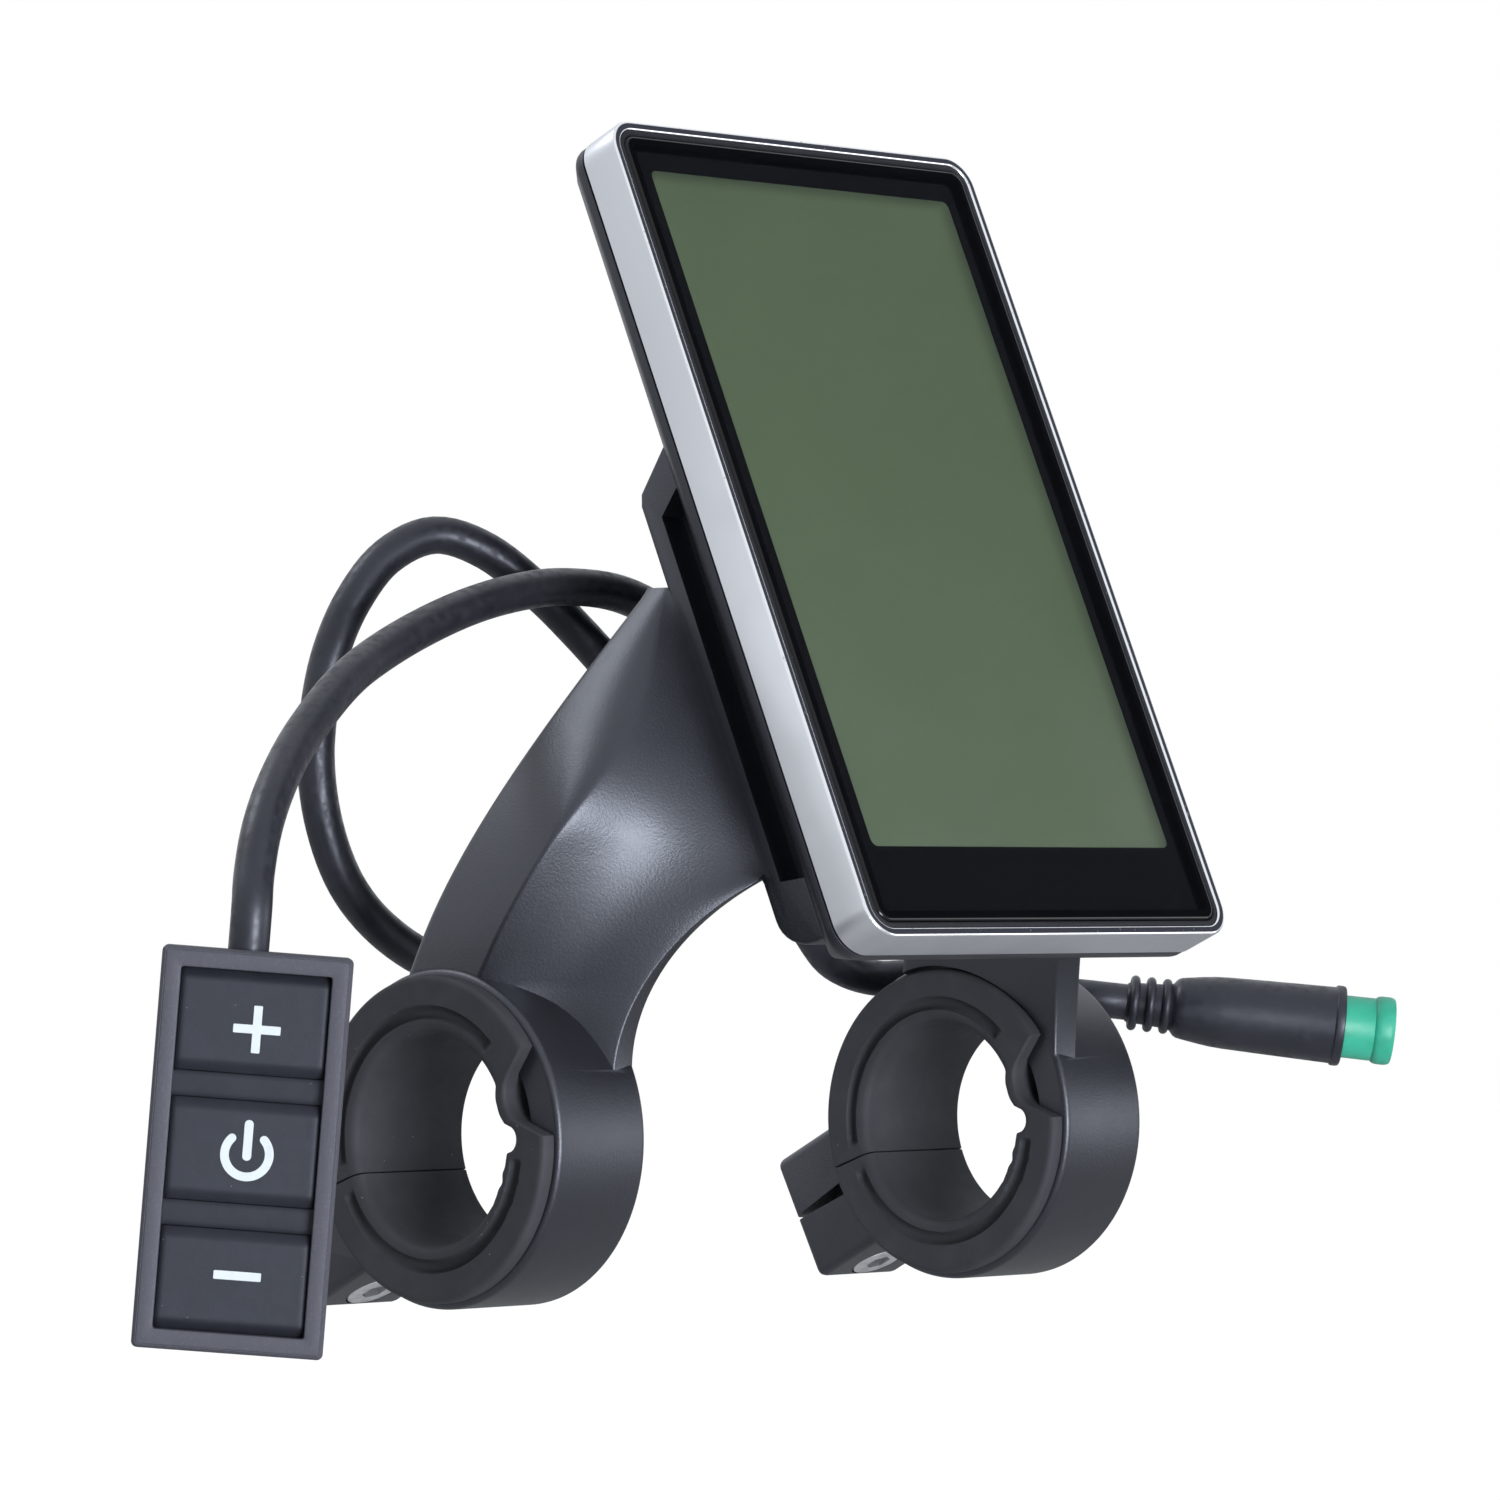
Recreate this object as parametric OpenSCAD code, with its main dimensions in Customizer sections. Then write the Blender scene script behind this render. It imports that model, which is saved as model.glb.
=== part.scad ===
// Handlebar display for an electric bicycle, on a two-clamp bracket, with a
// three-key thumb remote and a plug lead.
// X is the handlebar axis, +Y points away from the rider, +Z is up.
// The origin lies on the handlebar axis, midway between the two clamps.

/* [Display] */
// Width of the display frame
display_w = 65.3; // [60:0.1:72]
// Height of the display frame, along its face
display_h = 107.8; // [104:0.2:116]
// Outer corner radius of the frame
corner_r = 4; // [3.8:0.1:6]
// Depth of the metal frame
frame_t = 5.6; // [5:0.2:7]
// Width of the bright lip round the front
lip_w = 1.2; // [0.6:0.1:1.3]
// Thickness of the cover glass
glass_t = 1.5; // [1.2:0.1:1.8]
// Rubber line between lip and glass
glass_seal_w = 0.8; // [0.4:0.1:0.9]
// Black border beside the clear window, frame included
side_border = 5.7; // [4.8:0.1:8]
// Black border above the clear window, frame included
top_border = 6.25; // [6:0.05:10]
// Black border below the clear window, frame included
low_border = 11.9; // [11:0.1:16]
// Depth of the back shell behind the frame
shell_t = 5.2; // [5:0.1:7]

/* [Stance] */
// Lean of the display back from upright, in degrees
display_lean = 24; // [15:1:30]
// Distance from bar axis to the display's lower edge, along the face
display_foot = 1; // [-1:0.1:4]
// Distance from bar axis to the face, square to it
face_out = 57.3; // [56:0.1:60]

/* [Bracket] */
// Width of the tray behind the display
tray_w = 57; // [54:0.5:59]
// Depth of the tray behind the shell
tray_t = 6.7; // [6:0.1:8]
// Thickness of the tray's back plate
tray_plate_t = 2.5; // [2:0.1:3]
// Radius of the arch between the arms, seen from the side
arch_r = 28.4; // [26:0.2:30]
// Width of the flat edge at the foot of each arm
arm_edge_w = 3.6; // [2.5:0.1:4.5]

/* [Clamps] */
// Diameter of the handlebar the sleeves fit
bar_d = 25.4; // [22.2:0.1:26]
// Bore of the clamp rings without their sleeves
clamp_bore_d = 31.8; // [31:0.1:32.2]
// Wall of the clamp rings
clamp_wall = 4.4; // [4:0.1:5]
// Width of each clamp ring
clamp_w = 14.7; // [13:0.1:16]
// Distance between the middles of the two rings
clamp_span = 90.9; // [88:0.1:96]
// Width of the slit between the ears, where it leaves the ring
slit_w = 2.3; // [1:0.1:2.6]
// Diameter of the clamp bolts
clamp_bolt_d = 4; // [3.5:0.5:4]

/* [Leads] */
// Diameter of both leads
lead_d = 4.7; // [3.8:0.1:5]
// Largest diameter of the plug's boot
boot_d = 10.5; // [10.1:0.1:11]
// Length of the plug's boot
boot_l = 28.4; // [27:0.2:32]
// Diameter of the plug's insert
insert_d = 8.2; // [7.6:0.1:8.4]
// How far the insert stands out of the boot
insert_l = 6.6; // [6:0.1:8]
// Number of contact pins
pin_count = 5; // [2:1:6]

/* [Remote] */
// Width of the remote
remote_w = 21.6; // [20:0.1:23]
// Height of the remote
remote_h = 45.4; // [44:0.2:48]
// Depth of the front frame
remote_frame_t = 5.8; // [5.6:0.1:6.4]
// Depth of the back housing
remote_housing_t = 3.4; // [3.2:0.1:4.4]
// Width of the border round the keys
remote_border = 2.3; // [1.9:0.1:2.4]
// Width of the bars between the keys
key_gap = 3; // [2.6:0.1:3.4]
// Travel of each key
key_travel = 0.8; // [0.4:0.1:0.9]
// Diameter of the bar the remote clamps to
remote_bar_d = 22.2; // [22:0.1:22.4]

/* [Hidden] */
$fn = 48;
fine = 96;
over = 0.5;
least_r = 0.2;

black = "#1c1c1e";
rubber_black = "#26262a";
silver = "#c4c5c8";

face_up = display_foot + display_h / 2;
display_low = -display_h / 2;

// Display stack, as depths behind the front face
glass_back = glass_t;
gasket_foot_t = 0.6;
ledge_top = glass_t + gasket_foot_t;
ledge_t = 1;
ledge_w = 1.6;
frame_wall = 2;
glass_gap = lip_w + glass_seal_w;
pocket_wall = lip_w;
window_edge = 0.4;
window_w = display_w - 2 * side_border;
window_h = display_h - top_border - low_border;
window_rise = (low_border - top_border) / 2;
window_r = 1.5;
lcd_t = 2;
lcd_back = glass_back + lcd_t;
guide_t = 1.8;
guide_back = lcd_back + guide_t;
seal_t = 0.3;
seal_inset = 0.5;
shell_front = frame_t + seal_t;
shell_back = frame_t + shell_t;
shell_inset = 0.1;
shell_side_wall = 3.9;
shell_end_wall = 2.5;
shell_floor = 1.5;
shell_pocket_r = 1.5;
shell_corner_min = 1;
shell_corner_steps = 8;
// Rows of the shell's outside: drawn in at the sides, at the ends, share of its depth
shell_rows = [[0, 0, 0.25], [0.3, 0.1, 0.35], [1.3, 0.6, 0.53], [3.8, 1.85, 1]];
board_t = 1.2;
board_front = frame_t + 0.6;
board_back = board_front + board_t;
board_side_gap = 5.5;
board_end_gap = 10.9;
board_w = display_w - 2 * board_side_gap;
board_h = display_h - 2 * board_end_gap;
board_drop = 1.5;
strip_inset = 2.4;
strip_w = window_w - 2 * strip_inset;
strip_t = 1.8;
strip_gap = 0.5;

boss_w = 3;
boss_h = 3.4;
shell_screw_d = 1.6;
shell_screw_head_d = 2.8;
shell_screw_head_t = 1.2;
shell_screw_x = display_w / 2 - 7.5;
shell_screw_u = display_h / 2 - frame_wall - boss_h / 2 - 0.3;
screw_clear = 0.2;

board_screw_d = 2;
board_screw_head_d = 3.6;
board_screw_head_t = 1.2;
board_screw_x = board_w / 2 - 4;
board_screw_u = board_h / 2 - 4;
board_post_d = 5;

// Tray, as places along the face and depths behind the shell
tray_start = 4.6;
tray_l = 65.1;
tray_bottom = display_low + tray_start;
tray_top = tray_bottom + tray_l;
tray_back = shell_back + tray_t;
tray_top_slope = 4;
tray_top_chamfer = 1.4;
tray_low_slope = 5.1;
tray_low_steps = 5;
tray_edge_t = 0.6;
groove_t = 3.9;
groove_deep = 3.5;
groove_start = 13.5;
groove_l = 48.1;
groove_bottom = display_low + groove_start;
groove_top = groove_bottom + groove_l;
groove_slope = 2.6;
tray_wall = 3.5;
tray_end_wall = 5;
tray_post_d = 8;
tray_screw_d = 3;
tray_screw_head_d = 5.6;
tray_screw_head_t = 1.8;
tray_screw_bite = 1;
tray_screw_x = 17;
tray_screw_span = 36.5;
tray_screw_low = display_low + 2 * tray_screw_head_d + tray_start + tray_low_slope;
tray_screw_top = tray_screw_low + tray_screw_span;

// Glands of the two leads, on the back of the shell
gland_remote_x = 8;
gland_main_x = -6;
gland_remote_rise = 49.9;
gland_main_rise = 37.9;
gland_remote_at = [gland_remote_x, display_low + gland_remote_rise];
gland_main_at = [gland_main_x, display_low + gland_main_rise];
gland_neck_d = 6;
gland_flange_d = 8.6;
gland_flange_t = 0.8;
gland_collar_t = 1.6;
gland_tip_d = 5.6;
gland_reach = 12.4;
gland_rib_d = 6.8;
gland_rib_count = 4;
gland_hole_d = 9.6;

// Clamp rings and ears
clamp_r = clamp_bore_d / 2 + clamp_wall;
ear_angle = -27.3;
ear_reach = 29.9;
ear_top = 8.4;
ear_low = -8.4;
ear_root = 14;
ear_corner = 1.2;
slit_tip_w = 0.45;
slit_rise = 0.25;
clamp_bolt_at = 25.4;
clamp_bolt_head_d = 7;
clamp_bolt_head_t = 4;
clamp_head_sunk = 3.9;
clamp_hex = 3;
clamp_hex_deep = 2;
clamp_nut_w = 7;
clamp_nut_t = 3.2;
clamp_nut_clear = 0.15;
clamp_nut_cover = 1.6;
clamp_bolt_clear = 0.25;

// Sleeves in the rings
shim_flange_t = 1.85;
shim_flange_r = 19.6;
shim_far_flange_r = 18.3;
shim_seat_clear = 0.3;
shim_split_angle = -20;
shim_split_w = 0.5;
shim_pocket_angle = 160.5;
shim_pocket_r = 3.6;
shim_pocket_at = 17.5;
shim_mouth_angles = [146, 176];
shim_mouth_r = 0.6;
shim_mouth_at = 20;
shim_vee_angle = 178.5;
shim_vee_r = 1.6;
shim_groove_r = 15.1;
shim_groove_w = 1.5;
shim_groove_deep = 0.8;
shim_groove_turns = [-12.5, 188.5];
shim_groove_sweep = 144;

// Arms, as heights above the bar axis and shares of their run
arm_root_z = 7;
arch_foot_z = 8.4;
arm_side_inset = 0.8;
arm_inner_inset = 0.1;
arm_edge_top_w = 2;
arm_lean_foot = 0.4;
arm_lean_top = 2;
arm_flare_z = 22;
arm_ridge_end_z = 62;
arm_side_depth = 10.2;
arm_side_from_z = 20;
arm_side_growth = 0.11;
arm_side_share = 0.62;
arm_front_foot = [7.1, 18.2];
arm_front_top = [-10.5, 64.8];
arm_front_bow = 2;
arm_hollow = 2;
arm_inner_r = 28.4;
arm_inner_min = 22;
arm_embed = 0.8;
arm_sunk = 0.3;
arm_top_z = 66;
arm_steps = 18;
arm_face_steps = 5;

// Plug at the end of the main lead
plug_at = [65, -7.3, 14.95];
plug_aim = [0.683, -0.722, -0.111];
boot_neck_d = 5.1;
boot_rib_d = 7.3;
boot_rib_w = 1.1;
boot_rib_first = 0.95;
boot_rib_step = 2.05;
boot_rib_count = 3;
boot_start = 6.5;
boot_start_d = 8;
boot_mid = 11.3;
boot_mid_d = 9.2;
boot_end_d = 10;
boot_collar_w = 1.2;
insert_rim_d = 8.9;
insert_rim_w = 2.6;
insert_sunk = 4;
insert_bore_d = 6.4;
insert_floor = 1.6;
insert_key_w = 1.2;
insert_key_t = 0.5;
pin_d = 0.9;
pin_l = 4.2;
pin_circle_d = 3.8;

// Remote
remote_at = [-98.83, -15.98, 0.1];
remote_turn = 42.4;
remote_roll = 4.5;
remote_corner = 0.7;
remote_edge = 0.4;
remote_wall = 1.5;
key_recess = 0.6;
key_clear = 0.15;
key_t = 1.8;
key_edge = 0.4;
key_stem_d = 4;
key_stem_l = 1.9;
stem_clear = 0.3;
sheet_front = 3.4;
sheet_t = 0.8;
bar_front = 1.7;
remote_board_front = remote_frame_t;
remote_board_t = 1;
remote_board_clear = 0.2;
dome_d = 5;
dome_t = 0.5;
rib_w = 3;
remote_screw_d = 1.6;
remote_screw_head_d = 3;
remote_screw_head_t = 1;
housing_floor = 1.3;
remote_back = remote_frame_t + remote_housing_t;
lead_entry_x = -1.15;
lead_entry_depth = 5;
lead_hole_clear = 0.15;
grip_t = 1.2;
grip_d = 3;
board_end_clear = 2.2;

saddle_wall = 2.6;
saddle_w = 14;
saddle_back = 1.4;
saddle_gap = 1.2;
saddle_ear_l = 5.2;
saddle_ear_t = 3;
saddle_screw_d = 3;
saddle_screw_head_d = 5.4;
saddle_screw_head_t = 2;
saddle_r = remote_bar_d / 2 + saddle_wall;
saddle_axis = remote_back + saddle_back + remote_bar_d / 2;
saddle_screw_at = saddle_r + saddle_ear_l / 2 - 0.4;

// Places in the display's own frame: X across, Y up the face, Z out of it
module on_face() {
    rotate([90 - display_lean, 0, 0]) translate([0, face_up, face_out]) children();
}

// A point of the display's frame, as a point of the whole part
function face_point(p) = [
    p[0],
    sin(display_lean) * (face_up + p[1]) - cos(display_lean) * (face_out + p[2]),
    cos(display_lean) * (face_up + p[1]) + sin(display_lean) * (face_out + p[2])];

// A point of the remote's frame, as a point of the whole part
function remote_point(p) =
    let (across = p[0] * cos(remote_roll) + p[1] * sin(remote_roll),
         up = p[1] * cos(remote_roll) - p[0] * sin(remote_roll))
    remote_at + [
        across * cos(remote_turn) - p[2] * sin(remote_turn),
        -across * sin(remote_turn) - p[2] * cos(remote_turn),
        up];

// Places in the remote's own frame: X across, Y up the face, Z out of it
module on_remote() {
    translate(remote_at) rotate([0, 0, -remote_turn]) rotate([90, 0, 0])
        rotate([0, 0, -remote_roll]) children();
}

// Places in the plug's own frame, with Z along the plug
module on_plug() {
    flat = norm([plug_aim[0], plug_aim[1]]);
    translate(plug_at)
        rotate([0, atan2(flat, plug_aim[2]), atan2(plug_aim[1], plug_aim[0])]) children();
}

// A plate with round corners, from one depth behind the face to another
module plate(w, h, r, from_depth, to_depth) {
    translate([0, 0, -to_depth]) linear_extrude(to_depth - from_depth)
        round_rect(w, h, r);
}

module round_rect(w, h, corner) {
    r = max(corner, least_r);
    union() {
        square([w - 2 * r, h], center = true);
        square([w, h - 2 * r], center = true);
        for (sx = [-1, 1], sy = [-1, 1])
            translate([sx * (w / 2 - r), sy * (h / 2 - r)]) circle(r);
    }
}

// A straight pin along Z, from one depth behind the face to another
module peg(d, from_depth, to_depth) {
    translate([0, 0, -to_depth]) cylinder(h = to_depth - from_depth, d = d);
}

module four_places(x, y) {
    for (sx = [-1, 1], sy = [-1, 1]) translate([sx * x, sy * y, 0]) children();
}

module cover_glass() {
    color("#101418") on_face()
        plate(display_w - 2 * glass_gap, display_h - 2 * glass_gap,
              corner_r - glass_gap, 0, glass_t);
}

module glass_gasket() {
    outer_w = display_w - 2 * pocket_wall;
    outer_h = display_h - 2 * pocket_wall;
    glass_w = display_w - 2 * glass_gap;
    glass_h = display_h - 2 * glass_gap;
    inner_w = glass_w - 2 * ledge_w;
    inner_h = glass_h - 2 * ledge_w;
    color(rubber_black) on_face() difference() {
        plate(outer_w, outer_h, corner_r - pocket_wall, window_edge / 2, ledge_top);
        plate(glass_w, glass_h, corner_r - glass_gap, -over, glass_t);
        plate(inner_w, inner_h, corner_r - glass_gap - ledge_w, -over, ledge_top + over);
    }
}

module bezel_frame() {
    pocket_w = display_w - 2 * pocket_wall;
    pocket_h = display_h - 2 * pocket_wall;
    ledge_open_w = display_w - 2 * (glass_gap + ledge_w);
    ledge_open_h = display_h - 2 * (glass_gap + ledge_w);
    inner_w = display_w - 2 * frame_wall;
    inner_h = display_h - 2 * frame_wall;
    color(silver) on_face() difference() {
        union() {
            difference() {
                plate(display_w, display_h, corner_r, 0, frame_t);
                plate(pocket_w, pocket_h, corner_r - pocket_wall, -over, ledge_top);
                plate(ledge_open_w, ledge_open_h, corner_r - glass_gap - ledge_w,
                      0, frame_t + over);
                plate(inner_w, inner_h, corner_r - frame_wall,
                      ledge_top + ledge_t, frame_t + over);
            }
            four_places(shell_screw_x, shell_screw_u + boss_h / 4)
                translate([-boss_w / 2, -boss_h * 3 / 4, -frame_t])
                    cube([boss_w, boss_h * 5 / 4, frame_t - ledge_top - ledge_t / 2]);
        }
        four_places(shell_screw_x, shell_screw_u)
            peg(shell_screw_d, ledge_top + ledge_t, frame_t + over);
    }
}

module lcd_panel() {
    color("#58694f") on_face() translate([0, window_rise, 0])
        plate(window_w + 2 * window_edge, window_h + 2 * window_edge, window_r,
              glass_back, lcd_back);
}

module light_guide() {
    guide_h = window_h - strip_t - 2 * strip_gap;
    color("#e8e8e0") on_face()
        translate([0, window_rise + (window_h - guide_h) / 2, 0])
            plate(window_w, guide_h, window_r, lcd_back, guide_back);
}

module contact_strip() {
    low_edge = window_rise - window_h / 2;
    color("#8a8a90") on_face()
        translate([-strip_w / 2, low_edge, -board_front])
            cube([strip_w, strip_t, board_front - lcd_back]);
}

module main_board() {
    color("#1f5a36") on_face() translate([0, board_drop, 0]) difference() {
        plate(board_w, board_h, window_r, board_front, board_back);
        four_places(board_screw_x, board_screw_u)
            peg(board_screw_d, board_front - over, board_back + over);
    }
}

// Chips and sockets: size and place of each, as shares of the board
part_shares = [
    [0.19, 0.12, -0.14, 0.16], [0.13, 0.08, 0.18, 0.2], [0.16, 0.1, -0.2, -0.32],
    [0.1, 0.06, 0.24, -0.34], [0.08, 0.05, -0.28, 0.34], [0.22, 0.05, 0.1, 0.36]];
part_t = 1.3;
module board_parts() {
    color("#2b2b2e") on_face() translate([0, board_drop, 0])
        for (share = part_shares)
            translate([share[2] * board_w, share[3] * board_h, 0])
                plate(share[0] * board_w, share[1] * board_h, boss_w / 10,
                      board_back, board_back + part_t);
}

module board_screws() {
    color("#9a9ca0") on_face() translate([0, board_drop, 0])
        four_places(board_screw_x, board_screw_u) {
            peg(board_screw_d, board_front, shell_back - shell_floor / 2);
            peg(board_screw_head_d, board_front - board_screw_head_t + gasket_foot_t,
                board_front);
        }
}

module shell_seal() {
    color(rubber_black) on_face() difference() {
        plate(display_w - 2 * seal_inset, display_h - 2 * seal_inset,
              corner_r - seal_inset, frame_t, shell_front);
        plate(display_w - 2 * frame_wall, display_h - 2 * frame_wall,
              corner_r - frame_wall, frame_t - over, shell_front + over);
    }
}

// Outside of the back shell: straight at the seal, then rounded to the back
module shell_form() {
    skin(concat([shell_ring(0, 0, shell_front)],
                [for (row = shell_rows)
                    shell_ring(row[0], row[1], frame_t + shell_t * row[2])]));
}

// Outline of the shell at a depth, drawn in at sides and ends, with round corners
function shell_ring(side_in, end_in, depth) =
    let (r = max(shell_corner_min, corner_r - shell_inset - side_in),
         x = display_w / 2 - shell_inset - side_in - r,
         y = display_h / 2 - shell_inset - end_in - r,
         steps = shell_corner_steps)
    [for (corner = [0:3], i = [0:steps])
        let (turn = 90 * corner + 90 * i / steps)
        [x * sign(cos(90 * corner + 45)) + r * cos(turn),
         y * sign(sin(90 * corner + 45)) + r * sin(turn), -depth]];

module back_shell() {
    inner_w = display_w - 2 * shell_side_wall;
    inner_h = display_h - 2 * shell_end_wall;
    color(black) on_face() difference() {
        union() {
            difference() {
                shell_form();
                plate(inner_w, inner_h, shell_pocket_r, 0, shell_back - shell_floor);
            }
            four_places(shell_screw_x, shell_screw_u)
                peg(shell_screw_head_d + 2 * boss_w / 4, shell_front,
                    shell_back - shell_floor / 2);
            translate([0, board_drop, 0]) four_places(board_screw_x, board_screw_u)
                peg(board_post_d, board_back, shell_back - shell_floor / 2);
        }
        four_places(shell_screw_x, shell_screw_u) {
            peg(shell_screw_d, 0, shell_back + over);
            peg(shell_screw_head_d + screw_clear, shell_back - shell_screw_head_t,
                shell_back + over);
        }
        translate([0, board_drop, 0]) four_places(board_screw_x, board_screw_u)
            peg(board_screw_d, 0, shell_back - shell_floor / 2);
        for (place = [gland_remote_at, gland_main_at]) translate(place)
            peg(gland_neck_d, 0, shell_back + over);
        tray_screw_places()
            peg(tray_screw_d, shell_back - tray_screw_bite, shell_back + over);
    }
}

module shell_screws() {
    color("#9a9ca0") on_face() four_places(shell_screw_x, shell_screw_u) {
        peg(shell_screw_d, ledge_top + ledge_t, shell_back - shell_screw_head_t);
        difference() {
            peg(shell_screw_head_d, shell_back - shell_screw_head_t, shell_back);
            for (turn = [0, 90]) rotate(turn)
                translate([-shell_screw_head_d / 3, -shell_screw_d / 6,
                           -shell_back - over])
                    cube([shell_screw_head_d * 2 / 3, shell_screw_d / 3,
                          over + shell_screw_head_t / 2]);
        }
    }
}

// Strain relief: flange inside the shell, neck through it, ribbed taper outside
module gland(place) {
    tip = shell_back + gland_reach;
    taper_from = shell_back + gland_collar_t;
    rib_step = (tip - taper_from) / (gland_rib_count + 1);
    color(rubber_black) on_face() translate(place) {
        peg(gland_flange_d, shell_back - shell_floor - gland_flange_t,
            shell_back - shell_floor);
        peg(gland_neck_d, shell_back - shell_floor, shell_back);
        peg(gland_flange_d, shell_back, taper_from);
        translate([0, 0, -tip])
            cylinder(h = tip - taper_from, d1 = gland_tip_d, d2 = gland_neck_d);
        for (i = [1:gland_rib_count])
            peg(gland_rib_d, taper_from + (i - 0.5) * rib_step,
                taper_from + i * rib_step);
    }
}

module remote_lead_gland() { gland(gland_remote_at); }

module main_lead_gland() { gland(gland_main_at); }

module tray_screw_places() {
    for (sx = [-1, 1], u = [tray_screw_top, tray_screw_low])
        translate([sx * tray_screw_x, u, 0]) children();
}

// Side outline of the tray, as height along the face and depth behind it
module tray_outline() {
    polygon(concat(
        [[tray_top, -shell_back],
         [tray_top - tray_top_slope, -(tray_back - tray_edge_t)],
         [tray_top - tray_top_slope - tray_top_chamfer, -tray_back]],
        [for (i = [tray_low_steps:-1:0])
            let (turn = 90 * i / tray_low_steps)
            [tray_bottom + tray_low_slope * (1 - cos(turn)),
             -(shell_back + tray_edge_t + (tray_t - tray_edge_t) * sin(turn))]],
        [[tray_bottom, -shell_back]]));
}

module groove_outline() {
    floor_depth = shell_back + groove_t;
    polygon([
        [groove_top + groove_slope, -(shell_back - over)],
        [groove_top, -floor_depth],
        [groove_bottom, -floor_depth],
        [groove_bottom - groove_slope / 2, -(shell_back - over)]]);
}

// Stands a side outline (height, depth) up and extrudes it across the tray
module across(w) {
    rotate([90, 0, 90]) translate([0, 0, -w / 2]) linear_extrude(w) children();
}

module tray() {
    pocket_w = tray_w - 2 * (groove_deep + tray_wall);
    pocket_top = tray_top - tray_top_slope - tray_end_wall;
    pocket_low = tray_bottom + tray_end_wall;
    on_face() difference() {
        across(tray_w) tray_outline();
        for (side = [-1, 1])
            translate([side * (tray_w / 2 + over - (groove_deep + over) / 2), 0, 0])
                across(groove_deep + over) groove_outline();
        difference() {
            translate([-pocket_w / 2, pocket_low, -(tray_back - tray_plate_t)])
                cube([pocket_w, pocket_top - pocket_low,
                      tray_t - tray_plate_t + over]);
            tray_screw_places() peg(tray_post_d, shell_back - 2 * over, tray_back);
        }
    }
}

function clamp_share(z, low, high) = max(0, min(1, (z - low) / (high - low)));

// Front line of the tray's back plate at a height, a little inside the plate
function tray_line(z) =
    let (out = face_out - tray_back + arm_embed)
    z * tan(display_lean) - out / cos(display_lean);

arm_foot_x = clamp_span / 2 - clamp_w / 2 + arm_inner_inset;
arm_side_x = clamp_span / 2 + clamp_w / 2 - arm_side_inset;
arch_foot_y = sqrt(pow(clamp_r, 2) - pow(arch_foot_z, 2)) - arm_sunk;

function arc_drop(r, rise) = rise <= 0 ? 0 : rise >= r ? r : r - sqrt(r * r - rise * rise);
function arm_rear(z) = max(tray_line(z),
    -arch_foot_y - arc_drop(arch_r, z - arch_foot_z)
    - (z - arch_foot_z > arch_r ? 2 * arch_r : 0));
function arm_inner(z) = max(arm_inner_min,
    arm_foot_x - arc_drop(arm_inner_r, z - arch_foot_z));
function arm_outer(z) = tray_w / 2 + (arm_side_x - tray_w / 2)
    * cos(90 * clamp_share(z, arm_flare_z, arm_top_z));
function arm_front(z) =
    let (run = clamp_share(z, arm_front_foot[1], arm_front_top[1]))
    arm_front_foot[0] + (arm_front_top[0] - arm_front_foot[0]) * run
    - arm_front_bow * sin(180 * run);
function arm_ridge(z) = arm_front(z) - min(
    arm_side_depth + arm_side_growth * (z - arm_side_from_z),
    arm_side_share * (arm_front(z) - arm_rear(z)));
function arm_edge(z) = max(tray_w / 2 - arm_sunk,
    arm_inner(z) + arm_edge_w + (arm_edge_top_w - arm_edge_w)
        * clamp_share(z, arch_foot_z, arch_foot_z + arch_r));
function arm_edge_rear(z) = max(tray_line(z), arm_rear(z) - arm_lean_foot
    - (arm_lean_top - arm_lean_foot)
        * sin(90 * clamp_share(z, arch_foot_z, arch_foot_z + arch_r)));

// Level slice of the right arm: inner side, front, outer side, hollow face, edge
function arm_slice(z) =
    let (ridge = [arm_outer(z), arm_ridge(z)],
         edge = [arm_edge(z), arm_edge_rear(z)],
         run = edge - ridge,
         inward = [run[1], -run[0]] / norm(run),
         bow = arm_hollow * cos(90 * clamp_share(z, arm_flare_z, arm_ridge_end_z)))
    concat(
        [[arm_inner(z), arm_rear(z), z],
         [arm_inner(z), arm_front(z), z],
         [arm_outer(z), arm_front(z), z]],
        [for (i = [0:arm_face_steps])
            let (s = i / arm_face_steps,
                 p = ridge + s * run + bow * sin(180 * s) * inward)
            [p[0], p[1], z]]);

// A closed skin over a row of rings, each ring with the same number of points
module skin(rings) {
    n = len(rings[0]);
    last = len(rings) - 1;
    points = [for (ring = rings) for (p = ring) p];
    sides = [for (i = [0:last - 1], j = [0:n - 1])
        let (a = i * n + j, b = i * n + (j + 1) % n)
        each [[a, b, a + n], [b, b + n, a + n]]];
    caps = [[for (j = [n - 1:-1:0]) j], [for (j = [0:n - 1]) last * n + j]];
    polyhedron(points, concat(sides, caps));
}

module arm() {
    skin([for (i = [0:arm_steps])
        arm_slice(arm_root_z + (arm_top_z - arm_root_z) * i / arm_steps)]);
}

// Places across the bar: X stays, the ear runs along +Y at its own angle
module on_ear(side) {
    translate([side * clamp_span / 2, 0, 0]) rotate([ear_angle, 0, 0]) children();
}

module along_bar(r, from_x, to_x) {
    translate([from_x, 0, 0]) rotate([0, 90, 0])
        cylinder(h = to_x - from_x, r = r, $fn = fine);
}

module ear_block() {
    rotate([90, 0, 90]) translate([0, 0, -clamp_w / 2]) linear_extrude(clamp_w)
        polygon([
            [ear_root, ear_low], [ear_reach - ear_corner * 2, ear_low],
            [ear_reach, ear_low + ear_corner], [ear_reach, ear_top - ear_corner],
            [ear_reach - ear_corner, ear_top], [ear_root, ear_top]]);
}

module ring(side) {
    middle = side * clamp_span / 2;
    along_bar(clamp_r, middle - clamp_w / 2, middle + clamp_w / 2);
    on_ear(side) ear_block();
}

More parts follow.
